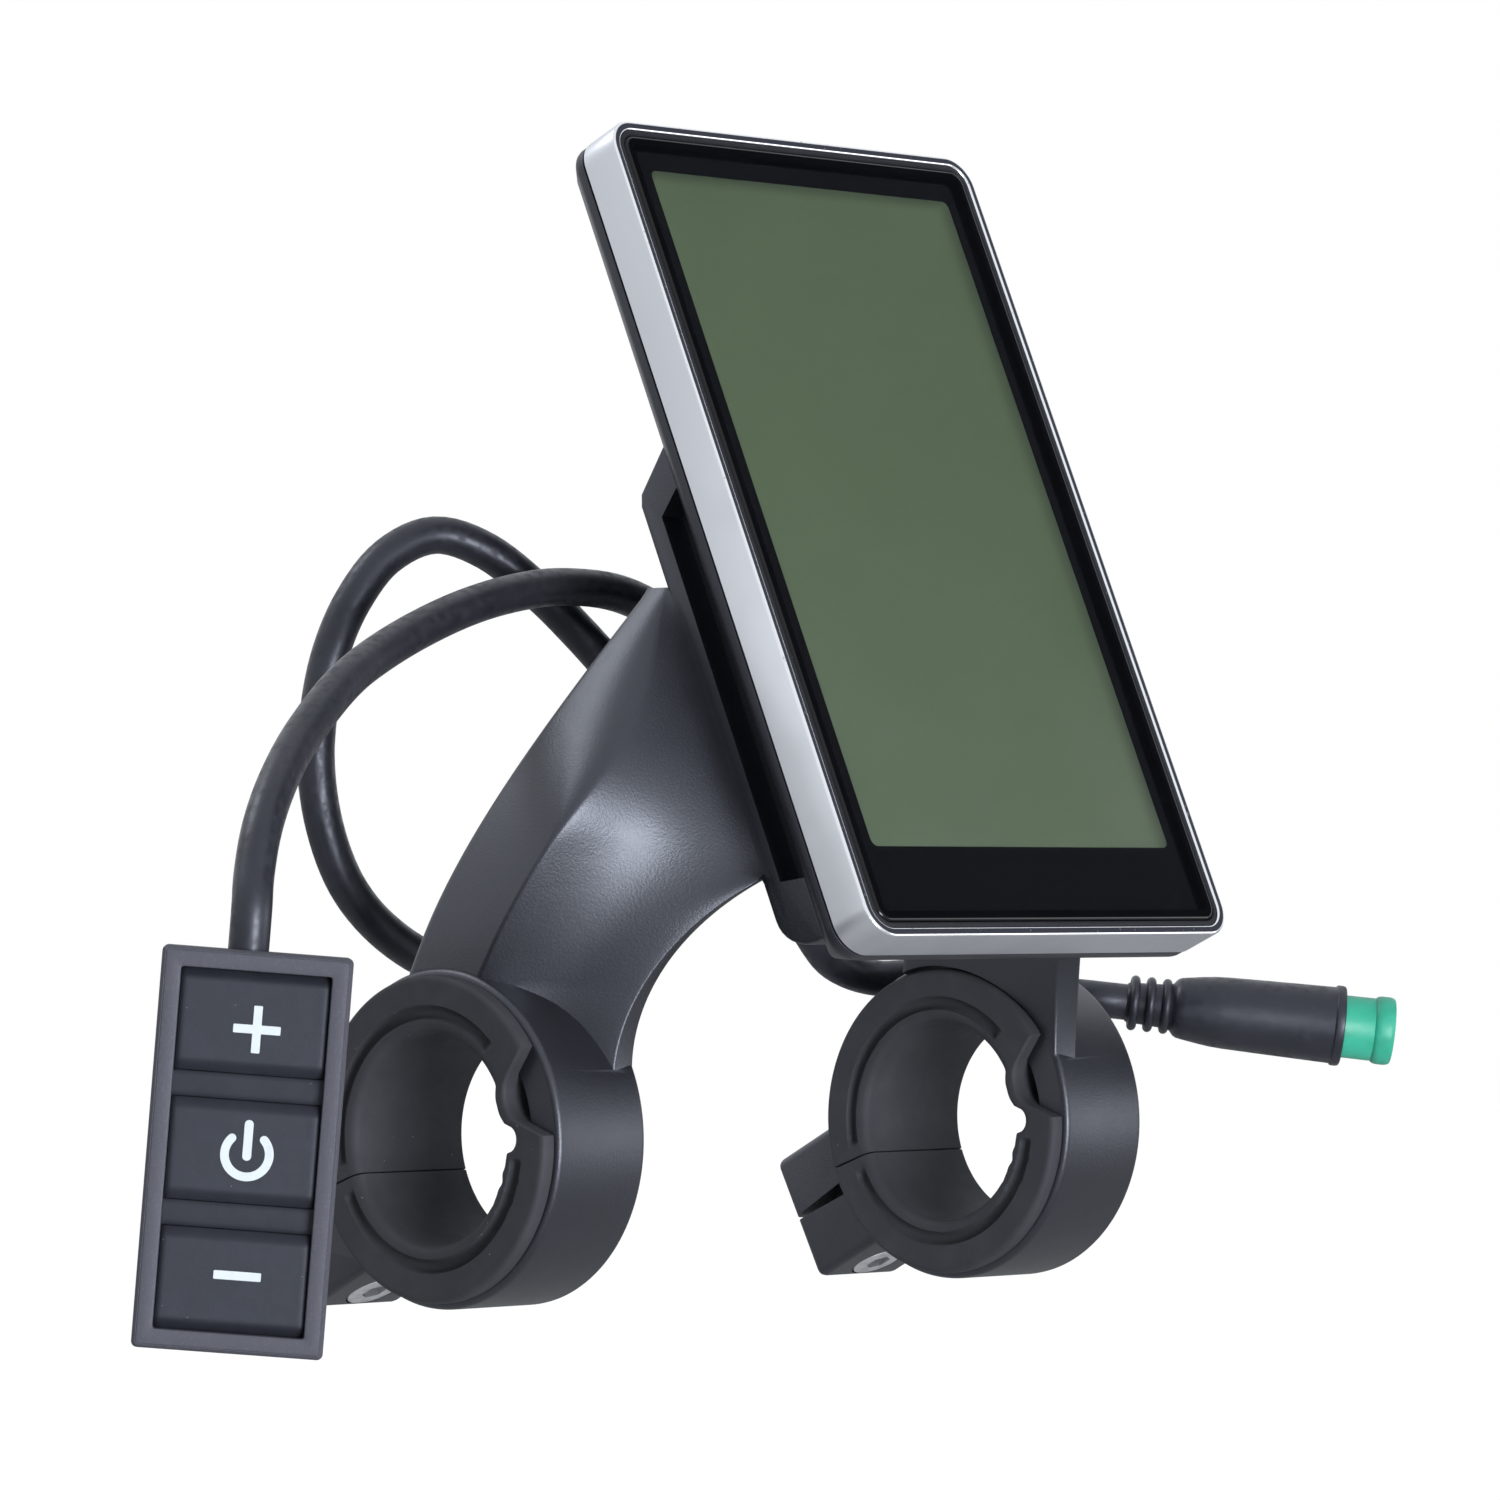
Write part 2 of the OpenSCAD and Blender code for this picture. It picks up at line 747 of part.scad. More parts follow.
// What is cut from each ring: bore, slit, bolt hole, head and nut pockets
module ring_cuts(side) {
    middle = side * clamp_span / 2;
    nut_low = ear_top - clamp_nut_cover - clamp_nut_t - clamp_nut_clear;
    along_bar(clamp_bore_d / 2, middle - clamp_w, middle + clamp_w);
    for (start = [middle - clamp_w, middle + clamp_w / 2])
        along_bar(shim_flange_r + shim_seat_clear, start, start + clamp_w / 2);
    on_ear(side) {
        rotate([90, 0, 90]) translate([0, 0, -clamp_w]) linear_extrude(2 * clamp_w)
            slit_outline();
        translate([0, clamp_bolt_at, ear_low - over]) {
            cylinder(h = ear_top - ear_low - clamp_nut_cover + over,
                     d = clamp_bolt_d + clamp_bolt_clear);
            cylinder(h = clamp_head_sunk + over, d = clamp_bolt_head_d + clamp_bolt_clear);
        }
        translate([0, clamp_bolt_at, nut_low]) hex_pocket();
    }
}

// Slit between the ears: a wedge, wide at the ring and narrow at the tip
module slit_outline() {
    root = clamp_bore_d / 2;
    tip = ear_reach + over;
    polygon([
        [0, slit_rise - slit_w / 2], [root, slit_rise - slit_w / 2],
        [tip, (slit_rise - slit_tip_w) / 2], [tip, (slit_rise + slit_tip_w) / 2],
        [root, slit_rise + slit_w / 2], [0, slit_rise + slit_w / 2]]);
}

// Slot for the captive nut, open at one end of the ring
module hex_pocket() {
    w = clamp_nut_w + 2 * clamp_nut_clear;
    translate([0, -w / 2, 0])
        cube([clamp_w, w, clamp_nut_t + clamp_nut_clear]);
    cylinder(h = clamp_nut_t + clamp_nut_clear, d = w / cos(30), $fn = 6);
}

module bracket() {
    color(black) difference() {
        union() {
            tray();
            arm();
            mirror([1, 0, 0]) arm();
            for (side = [-1, 1]) ring(side);
        }
        for (side = [-1, 1]) ring_cuts(side);
        on_face() {
            tray_screw_places() {
                peg(tray_screw_d + screw_clear, shell_back - over, tray_back + over);
                peg(tray_screw_head_d + screw_clear, tray_back - tray_screw_head_t,
                    tray_back + over);
            }
            for (place = [gland_remote_at, gland_main_at]) translate(place)
                peg(gland_hole_d, shell_back - over, tray_back + over);
        }
    }
}

module tray_screws() {
    color("#3a3a3c") on_face() tray_screw_places() difference() {
        union() {
            peg(tray_screw_d, shell_back - tray_screw_bite, tray_back - tray_screw_head_t);
            peg(tray_screw_head_d, tray_back - tray_screw_head_t, tray_back);
        }
        translate([0, 0, -tray_back - over])
            cylinder(h = tray_screw_head_t * 2 / 3 + over, d = tray_screw_d, $fn = 6);
    }
}

// Rubber sleeve: tube with two end flanges, split, with a hinge and face grooves
module shim(side) {
    near_x = side * clamp_span / 2 - clamp_w / 2;
    far_x = near_x + clamp_w;
    near_end = near_x - shim_flange_t;
    far_end = far_x + shim_flange_t;
    color(rubber_black) difference() {
        union() {
            along_bar(clamp_bore_d / 2, near_x, far_x);
            along_bar(shim_flange_r, near_end, near_x);
            along_bar(shim_far_flange_r, far_x, far_end);
        }
        along_bar(bar_d / 2, near_end - over, far_end + over);
        rotate([shim_split_angle, 0, 0])
            translate([near_end - over, 0, -shim_split_w / 2])
                cube([far_end - near_end + 2 * over, shim_flange_r + over, shim_split_w]);
        hull() {
            round_bar(shim_pocket_angle, shim_pocket_at, shim_pocket_r, near_end, far_end);
            for (turn = shim_mouth_angles)
                round_bar(turn, shim_mouth_at, shim_mouth_r, near_end, far_end);
        }
        round_bar(shim_vee_angle, bar_d / 2, shim_vee_r, near_end, far_end);
        for (turn = shim_groove_turns) shim_groove(near_end, turn);
    }
}

// A round cut along the bar, at an angle and a distance from its axis
module round_bar(turn, away, r, from_x, to_x) {
    rotate([turn, 0, 0]) translate([0, away, 0]) along_bar(r, from_x - over, to_x + over);
}

// One of the two arc grooves in the sleeve's end face
module shim_groove(end_x, turn) {
    rotate([turn, 0, 0]) translate([end_x + shim_groove_deep, 0, 0]) rotate([0, -90, 0])
        rotate(90) rotate_extrude(angle = shim_groove_sweep, $fn = fine)
            translate([shim_groove_r - shim_groove_w / 2, 0])
                square([shim_groove_w, shim_groove_deep + over]);
}

module left_shim() { shim(-1); }

module right_shim() { shim(1); }

module clamp_bolts() {
    nut_top = ear_top - clamp_nut_cover;
    color("#b9bbbe") for (side = [-1, 1]) on_ear(side)
        translate([0, clamp_bolt_at, 0]) difference() {
            union() {
                translate([0, 0, ear_low + clamp_head_sunk])
                    cylinder(h = nut_top - ear_low - clamp_head_sunk, d = clamp_bolt_d);
                translate([0, 0, ear_low + clamp_head_sunk - clamp_bolt_head_t])
                    cylinder(h = clamp_bolt_head_t, d = clamp_bolt_head_d);
            }
            translate([0, 0, ear_low + clamp_head_sunk - clamp_bolt_head_t - over])
                cylinder(h = clamp_hex_deep + over, d = clamp_hex / cos(30), $fn = 6);
        }
}

module clamp_nuts() {
    nut_low = ear_top - clamp_nut_cover - clamp_nut_t;
    color("#9a9ca0") for (side = [-1, 1]) on_ear(side)
        translate([0, clamp_bolt_at, nut_low]) difference() {
            cylinder(h = clamp_nut_t, d = clamp_nut_w / cos(30), $fn = 6);
            translate([0, 0, -over]) cylinder(h = clamp_nut_t + 2 * over, d = clamp_bolt_d);
        }
}

// Sweep of a round lead along a route, with a frame carried from ring to ring
lead_sides = 10;
function unit(v) = v / norm(v);
function aim_at(route, i) = unit(
    i == 0 ? route[1] - route[0] :
    i == len(route) - 1 ? route[i] - route[i - 1] :
    unit(route[i + 1] - route[i]) + unit(route[i] - route[i - 1]));
function carried(route, i) = i == 0 ?
    unit(cross(aim_at(route, 0), [0.3, 1, 0.2])) :
    let (before = carried(route, i - 1), aim = aim_at(route, i))
    unit(before - (before * aim) * aim);

module lead(route, d) {
    sides = lead_sides;
    skin([for (i = [0:len(route) - 1])
        let (a = carried(route, i), b = cross(aim_at(route, i), a))
        [for (k = [0:sides - 1])
            route[i] + d / 2 * (cos(-360 * k / sides) * a + sin(-360 * k / sides) * b)]]);
}

// Route of the lead to the remote, chosen by hand
remote_lead_points = [
    [7.5, -2, 57.5], [5, 3.5, 58.2], [0.7, 7.8, 60.9], [-5.8, 9.7, 64.6],
    [-12.9, 10.4, 66.7], [-22, 10.5, 67], [-31, 9.5, 65.9], [-39.9, 8.4, 63.9],
    [-48.9, 6.9, 61.1], [-57.5, 5, 57.9], [-65.6, 2.1, 54.6], [-73, -1, 50.6],
    [-79.9, -4.1, 46.1], [-85.8, -7.2, 41.4], [-90.4, -9.9, 36.5], [-93.2, -11.7, 31.5]];

// Route of the lead to the plug, chosen by hand
main_lead_points = [
    [-6, -7, 46], [-6.4, -0.1, 46.7], [-7.8, 5.8, 50.3], [-10.2, 10.7, 55.4],
    [-13.6, 15.1, 61.5], [-17.8, 18.3, 66.7], [-23.6, 21.6, 71.7], [-29.8, 24.5, 73.6],
    [-36, 26.5, 70.8], [-40.7, 27.6, 65.3], [-43.5, 28.6, 58.9], [-44.8, 29.3, 52],
    [-44.9, 29.8, 45], [-43.6, 29.6, 37.4], [-40.5, 29, 30.3], [-35.4, 28, 24.8],
    [-28.2, 26.7, 20.7], [-20, 26, 19.4], [-13, 25, 21.5], [-7, 24.5, 26],
    [-1, 24, 31.5], [6, 24, 36.5], [14, 24, 39], [22, 24, 38.5], [28.9, 24.1, 34.9],
    [34.3, 24.2, 29.3], [38.1, 23.9, 23.9], [42.4, 23.5, 19.9], [48, 21.6, 18],
    [53.4, 17, 18.1], [57.8, 9.2, 17.1], [61, 1, 15.9]];

remote_lead_exit = face_point([gland_remote_at[0], gland_remote_at[1],
                               -(shell_back + gland_reach)]);
main_lead_exit = face_point([gland_main_at[0], gland_main_at[1],
                             -(shell_back + gland_reach)]);
exit_aim = face_point([0, 0, -1]) - face_point([0, 0, 0]);
entry_aim = remote_point([0, 1, 0]) - remote_point([0, 0, 0]);
remote_lead_entry = remote_point([lead_entry_x, remote_h / 2 - remote_wall,
                                  -lead_entry_depth]);
plug_back = plug_at - unit(plug_aim) * lead_d;

module remote_lead() {
    color(black) lead(concat(
        [remote_lead_exit, remote_lead_exit + exit_aim * lead_d],
        remote_lead_points,
        [remote_lead_entry + entry_aim * (lead_d + remote_wall), remote_lead_entry]),
        lead_d);
}

module main_lead() {
    color(black) lead(concat(
        [main_lead_exit, main_lead_exit + exit_aim * lead_d],
        main_lead_points,
        [plug_back, plug_at]),
        lead_d);
}

module plug_boot() {
    body_end = boot_l - boot_collar_w;
    color(black) on_plug() difference() {
        rotate_extrude() polygon(concat(
            [[0, 0], [boot_neck_d / 2, 0]],
            [for (i = [0:boot_rib_count - 1])
                let (s = boot_rib_first + i * boot_rib_step)
                each [[boot_neck_d / 2, s], [boot_rib_d / 2, s + boot_rib_w / 4],
                      [boot_rib_d / 2, s + boot_rib_w * 3 / 4],
                      [boot_neck_d / 2, s + boot_rib_w]]],
            [[boot_start_d / 2, boot_start], [boot_mid_d / 2, boot_mid],
             [boot_end_d / 2, body_end], [boot_d / 2, body_end],
             [boot_d / 2, boot_l], [0, boot_l]]));
        translate([0, 0, boot_l - insert_sunk])
            cylinder(h = insert_sunk + over, d = insert_d);
    }
}

module plug_insert() {
    top = boot_l + insert_l;
    color("#16a97a") on_plug() difference() {
        union() {
            translate([0, 0, boot_l - insert_sunk])
                cylinder(h = insert_sunk + insert_l, d = insert_d);
            translate([0, 0, top - insert_rim_w]) cylinder(h = insert_rim_w, d = insert_rim_d);
        }
        translate([0, 0, boot_l - insert_sunk + insert_floor])
            cylinder(h = insert_sunk + insert_l, d = insert_bore_d);
        for (i = [0:pin_count - 1]) rotate(360 * i / pin_count)
            translate([pin_circle_d / 2, 0, boot_l - insert_sunk])
                cylinder(h = insert_floor, d = pin_d);
        translate([insert_bore_d / 2 - insert_key_t, -insert_key_w / 2,
                   boot_l - insert_sunk + insert_floor])
            cube([2 * insert_key_t, insert_key_w, insert_sunk + insert_l]);
    }
}

module plug_pins() {
    color("#c9a23f") on_plug() for (i = [0:pin_count - 1]) rotate(360 * i / pin_count)
        translate([pin_circle_d / 2, 0, boot_l - insert_sunk])
            cylinder(h = insert_floor + pin_l, d = pin_d);
}

key_w = remote_w - 2 * remote_border;
key_field_h = remote_h - 2 * remote_border;
key_h = (key_field_h - 2 * key_gap) / 3;
key_step = key_h + key_gap;

module rib_places() {
    for (side = [-1, 1]) translate([0, side * key_step / 2, 0]) children();
}

module remote_frame() {
    pocket_w = remote_w - 2 * remote_wall;
    pocket_h = remote_h - 2 * remote_wall;
    pocket_front = sheet_front;
    color("#4b484c") on_remote() difference() {
        union() {
            difference() {
                hull() {
                    plate(remote_w - 2 * remote_edge, remote_h - 2 * remote_edge,
                          remote_corner - remote_edge, 0, remote_frame_t);
                    plate(remote_w, remote_h, remote_corner, remote_edge, remote_frame_t);
                }
                plate(key_w, key_field_h, remote_edge, -over, remote_frame_t + over);
                plate(pocket_w, pocket_h, remote_edge, pocket_front,
                      remote_frame_t + over);
            }
            rib_places() translate([-pocket_w / 2 - over / 2, -rib_w / 2, -remote_frame_t])
                cube([pocket_w + over, rib_w, remote_frame_t - sheet_front - sheet_t]);
        }
        rib_places() peg(remote_screw_d, sheet_front + sheet_t + sheet_t / 2,
                         remote_frame_t + over);
        lead_hole();
    }
}

module lead_hole() {
    translate([lead_entry_x, remote_h / 2 - remote_wall - over, -lead_entry_depth])
        rotate([-90, 0, 0])
            cylinder(h = remote_wall + 2 * over, d = lead_d + 2 * lead_hole_clear);
}

module keypad_sheet() {
    sheet_w = remote_w - 2 * remote_wall;
    sheet_h = remote_h - 2 * remote_wall;
    hole_d = key_stem_d + 2 * stem_clear;
    notch = lead_d + 2 * stem_clear;
    color("#242427") on_remote() difference() {
        union() {
            plate(sheet_w, sheet_h, remote_edge, sheet_front, sheet_front + sheet_t);
            rib_places() translate([-key_w / 2, -key_gap / 2 + key_clear,
                                    -sheet_front - sheet_t / 2])
                cube([key_w, key_gap - 2 * key_clear, sheet_front - bar_front + sheet_t / 2]);
        }
        for (i = [-1, 0, 1]) translate([0, i * key_step, 0])
            peg(hole_d, bar_front, sheet_front + sheet_t + over);
        translate([lead_entry_x - notch / 2, remote_h / 2 - remote_wall - grip_t,
                   -sheet_front - sheet_t - over])
            cube([notch, grip_t + over, sheet_t + 2 * over]);
    }
}

// One key: a pad with eased edges and the stem that presses its dome
module key(row) {
    w = key_w - 2 * key_clear;
    h = key_h - (row == 0 ? 2 : 1) * key_clear;
    shift = row == 0 ? 0 : -row * key_clear / 2;
    color("#26272b") on_remote() translate([0, row * key_step + shift, 0]) union() {
        hull() {
            plate(w - 2 * key_edge, h - 2 * key_edge, key_edge, key_recess,
                  key_recess + key_t);
            plate(w, h, key_edge, key_recess + key_edge, key_recess + key_t);
        }
        translate([0, -shift, 0])
            peg(key_stem_d, key_recess + key_t, key_recess + key_t + key_stem_l);
    }
}

module key_plus() { key(1); }

module key_power() { key(0); }

module key_minus() { key(-1); }

module remote_board() {
    w = remote_w - 2 * (remote_wall + remote_board_clear);
    h = remote_h - 2 * (remote_wall + board_end_clear);
    color("#1f5a36") on_remote() difference() {
        plate(w, h, remote_edge, remote_board_front, remote_board_front + remote_board_t);
        rib_places() peg(remote_screw_d + 2 * remote_board_clear,
                         remote_board_front - over,
                         remote_board_front + remote_board_t + over);
    }
}

module dome_switches() {
    color("#b9bbbe") on_remote() for (i = [-1, 0, 1]) translate([0, i * key_step, 0])
        peg(dome_d, remote_board_front - dome_t, remote_board_front);
}

// Stub that holds the end of the lead, seated on the inside of the top wall
module lead_grip() {
    color("#1c1c1e") on_remote()
        translate([lead_entry_x, remote_h / 2 - remote_wall, -lead_entry_depth])
            rotate([90, 0, 0]) cylinder(h = grip_t, d = grip_d);
}

// Half ring of the bar saddle, with two ears; flip turns it to the far half
module half_saddle(flip) {
    translate([0, 0, -saddle_axis]) rotate([flip ? 180 : 0, 0, 0]) difference() {
        union() {
            intersection() {
                rotate([0, 90, 0]) translate([0, 0, -saddle_w / 2])
                    cylinder(h = saddle_w, r = saddle_r, $fn = fine);
                translate([-saddle_w, -2 * saddle_r, saddle_gap / 2])
                    cube([2 * saddle_w, 4 * saddle_r, 2 * saddle_r]);
            }
            for (side = [-1, 1])
                translate([-saddle_w / 2,
                           side * (saddle_r + saddle_ear_l / 2 - saddle_wall / 2)
                           - (saddle_ear_l + saddle_wall) / 2, saddle_gap / 2])
                    cube([saddle_w, saddle_ear_l + saddle_wall, saddle_ear_t]);
        }
        rotate([0, 90, 0]) translate([0, 0, -saddle_w])
            cylinder(h = 2 * saddle_w, d = remote_bar_d, $fn = fine);
    }
}

module saddle_screw_places() {
    for (side = [-1, 1]) translate([0, side * saddle_screw_at, 0]) children();
}

module remote_housing() {
    inner_w = remote_w - 2 * remote_wall;
    inner_h = remote_h - 2 * remote_wall;
    saddle_front = saddle_axis - saddle_gap / 2 - saddle_ear_t;
    color("#3f3d41") on_remote() difference() {
        union() {
            difference() {
                plate(remote_w, remote_h, remote_corner, remote_frame_t, remote_back);
                plate(inner_w, inner_h, remote_edge, 0, remote_back - housing_floor);
            }
            rib_places() translate([-remote_w / 2 + remote_wall / 2, -rib_w / 2,
                                    -remote_back])
                cube([remote_w - remote_wall, rib_w,
                      remote_back - remote_board_front - remote_board_t]);
            half_saddle(false);
            translate([-saddle_w / 2, -saddle_r / 2, -saddle_axis + remote_bar_d / 2])
                cube([saddle_w, saddle_r, saddle_back + housing_floor / 2]);
        }
        rib_places() {
            peg(remote_screw_d, remote_board_front, remote_back + over);
            peg(remote_screw_head_d + screw_clear, remote_back - remote_screw_head_t,
                saddle_axis);
        }
        saddle_screw_places() peg(saddle_screw_d, saddle_front,
                                  saddle_axis + over);
        translate([0, 0, -saddle_axis]) rotate([0, 90, 0]) translate([0, 0, -saddle_w])
            cylinder(h = 2 * saddle_w, d = remote_bar_d, $fn = fine);
        lead_hole();
    }
}

module remote_screws() {
    color("#9a9ca0") on_remote() rib_places() {
        peg(remote_screw_d, sheet_front + sheet_t + sheet_t / 2,
            remote_back - remote_screw_head_t);
        peg(remote_screw_head_d, remote_back - remote_screw_head_t, remote_back);
    }
}

module remote_clamp() {
    ear_back = saddle_axis + saddle_gap / 2 + saddle_ear_t;
    color("#3f3d41") on_remote() difference() {
        half_saddle(true);
        saddle_screw_places() peg(saddle_screw_d + screw_clear, saddle_axis,
                                  ear_back + over);
    }
}

module remote_clamp_screws() {
    ear_back = saddle_axis + saddle_gap / 2 + saddle_ear_t;
    saddle_front = saddle_axis - saddle_gap / 2 - saddle_ear_t;
    color("#b9bbbe") on_remote() saddle_screw_places() difference() {
        union() {
            peg(saddle_screw_d, saddle_front, ear_back);
            peg(saddle_screw_head_d, ear_back, ear_back + saddle_screw_head_t);
        }
        translate([0, 0, -ear_back - saddle_screw_head_t - over])
            cylinder(h = saddle_screw_head_t * 2 / 3 + over, d = saddle_screw_d * 2 / 3,
                     $fn = 6);
    }
}

cover_glass();
glass_gasket();
bezel_frame();
lcd_panel();
light_guide();
contact_strip();
main_board();
board_parts();
board_screws();
shell_seal();
back_shell();
shell_screws();
remote_lead_gland();
main_lead_gland();
bracket();
tray_screws();
left_shim();
right_shim();
clamp_bolts();
clamp_nuts();
main_lead();
plug_boot();
plug_insert();
plug_pins();
remote_lead();
remote_frame();
remote_housing();
keypad_sheet();
key_plus();
key_power();
key_minus();
remote_board();
dome_switches();
lead_grip();
remote_screws();
remote_clamp();
remote_clamp_screws();
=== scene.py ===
"""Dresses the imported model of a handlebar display, its bracket, remote and leads."""

import math

import bmesh
import bpy
from mathutils import Matrix, Vector


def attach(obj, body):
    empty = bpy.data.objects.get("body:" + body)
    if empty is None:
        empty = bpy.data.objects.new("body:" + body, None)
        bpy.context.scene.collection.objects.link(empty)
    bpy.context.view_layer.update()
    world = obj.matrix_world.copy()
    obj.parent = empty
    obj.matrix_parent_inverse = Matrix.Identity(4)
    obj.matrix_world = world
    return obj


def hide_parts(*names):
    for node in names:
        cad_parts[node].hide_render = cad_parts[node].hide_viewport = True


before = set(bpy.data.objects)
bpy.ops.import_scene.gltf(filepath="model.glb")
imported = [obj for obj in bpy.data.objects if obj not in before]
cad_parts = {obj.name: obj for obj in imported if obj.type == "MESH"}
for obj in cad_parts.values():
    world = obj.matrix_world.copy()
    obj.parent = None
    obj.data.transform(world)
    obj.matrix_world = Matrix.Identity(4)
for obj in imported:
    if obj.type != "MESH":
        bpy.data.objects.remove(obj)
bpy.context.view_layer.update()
scene = bpy.context.scene
MM = 0.001

# Sizes shared with the part's source, in millimetres and degrees
DISPLAY_W, DISPLAY_H, CORNER_R = 65.3, 107.8, 4.0
FRAME_T, LIP_W, GLASS_T, GLASS_SEAL_W, SHELL_T = 5.6, 1.2, 1.5, 0.8, 5.2
SHELL_BACK = FRAME_T + SHELL_T
SIDE_BORDER, TOP_BORDER, LOW_BORDER = 5.7, 6.25, 11.9
WINDOW_W = DISPLAY_W - 2 * SIDE_BORDER
WINDOW_H = DISPLAY_H - TOP_BORDER - LOW_BORDER
WINDOW_RISE = (LOW_BORDER - TOP_BORDER) / 2
LEAN = 24.0
FACE_UP, FACE_OUT = 54.9, 57.3
DISPLAY_LOW = -DISPLAY_H / 2

TRAY_W, TRAY_T, TRAY_H, TRAY_RISE = 57.0, 6.7, 65.1, 4.6
TRAY_BACK = SHELL_BACK + TRAY_T
TRAY_BOTTOM = DISPLAY_LOW + TRAY_RISE
TRAY_TOP = TRAY_BOTTOM + TRAY_H
GROOVE_H, GROOVE_RISE = 48.1, 13.5
GROOVE_LOW = DISPLAY_LOW + GROOVE_RISE
GROOVE_TOP = GROOVE_LOW + GROOVE_H
TRAY_SCREW_X, TRAY_SCREW_GAP, TRAY_SCREW_RISE = 17.0, 36.5, 20.9
TRAY_SCREW_LOW = DISPLAY_LOW + TRAY_SCREW_RISE
TRAY_SCREW_TOP = TRAY_SCREW_LOW + TRAY_SCREW_GAP
GLAND_XS, GLAND_RISES = (8.0, -6.0), (49.9, 37.9)
GLAND_PLACES = [(x, DISPLAY_LOW + rise) for x, rise in zip(GLAND_XS, GLAND_RISES)]
GLAND_REACH = 12.4

BORE_D, RING_WALL, RING_W, RING_SPAN = 31.8, 4.4, 14.7, 90.9
RING_R = BORE_D / 2 + RING_WALL
BAR_R = 12.7
LEAD_D = 4.7

REMOTE_AT = Vector((-98.83, -15.98, 0.1))
REMOTE_TURN, REMOTE_ROLL = 42.4, 4.5
REMOTE_W, REMOTE_H, REMOTE_BORDER, REMOTE_WALL = 21.6, 45.4, 2.3, 1.5
REMOTE_BACK, SADDLE_T, REMOTE_BAR_D, BAND_T = 9.2, 1.4, 22.2, 3.6
PLUG_AT = Vector((65.0, -7.3, 14.95))
PLUG_AIM = Vector((0.683, -0.722, -0.111)).normalized()

# Frames of reference, all giving metres in the row frame
TO_METRES = Matrix.Scale(MM, 4)
ON_FACE = (
    TO_METRES
    @ Matrix.Rotation(math.radians(90 - LEAN), 4, "X")
    @ Matrix.Translation((0, FACE_UP, FACE_OUT))
)
ON_REMOTE = (
    TO_METRES
    @ Matrix.Translation(REMOTE_AT)
    @ Matrix.Rotation(math.radians(-REMOTE_TURN), 4, "Z")
    @ Matrix.Rotation(math.radians(90), 4, "X")
    @ Matrix.Rotation(math.radians(-REMOTE_ROLL), 4, "Z")
)
ON_PLUG = (
    TO_METRES
    @ Matrix.Translation(PLUG_AT)
    @ PLUG_AIM.to_track_quat("Z", "Y").to_matrix().to_4x4()
)
FLIPPED = Matrix.Rotation(math.pi, 4, "X")

# The photograph's camera, in metres
CAMERA_LENS, CAMERA_SENSOR = 166.3, 36
CAMERA_AT = Vector((-0.62684, -0.59353, 0.03006))
CAMERA_AIM = Vector((0.72666, 0.68672, 0.01967))
CAMERA_UP = Vector((-0.01429, -0.01351, 0.99981))


def place_camera():
    """The scene's camera, which the photograph's edges and circles were fitted with."""
    data = bpy.data.cameras.new("photo_camera")
    data.sensor_width = CAMERA_SENSOR
    data.lens = CAMERA_LENS
    data.clip_start, data.clip_end = 0.01, 20
    camera = bpy.data.objects.new("photo_camera", data)
    scene.collection.objects.link(camera)
    forward = CAMERA_AIM.normalized()
    right = forward.cross(CAMERA_UP).normalized()
    up = right.cross(forward)
    turn = Matrix((right, up, -forward)).transposed().to_4x4()
    camera.matrix_world = Matrix.Translation(CAMERA_AT) @ turn
    scene.camera = camera


place_camera()


# Node tools
def srgb(red, green, blue):
    """Linear colour of a colour read as 0-255 on a screen."""
    parts = []
    for value in (red, green, blue):
        level = value / 255
        parts.append(level / 12.92 if level < 0.04045 else ((level + 0.055) / 1.055) ** 2.4)
    return (*parts, 1.0)


def wired(tree, kind, feeds=(), **settings):
    """Outlets of a new node: settings are its own properties, feeds go into its sockets."""
    node = tree.nodes.new(kind)
    for key, value in settings.items():
        setattr(node, key, value)
    for socket, source in dict(feeds).items():
        if isinstance(source, bpy.types.NodeSocket):
            tree.links.new(source, node.inputs[socket])
        else:
            node.inputs[socket].default_value = source
    return node.outputs


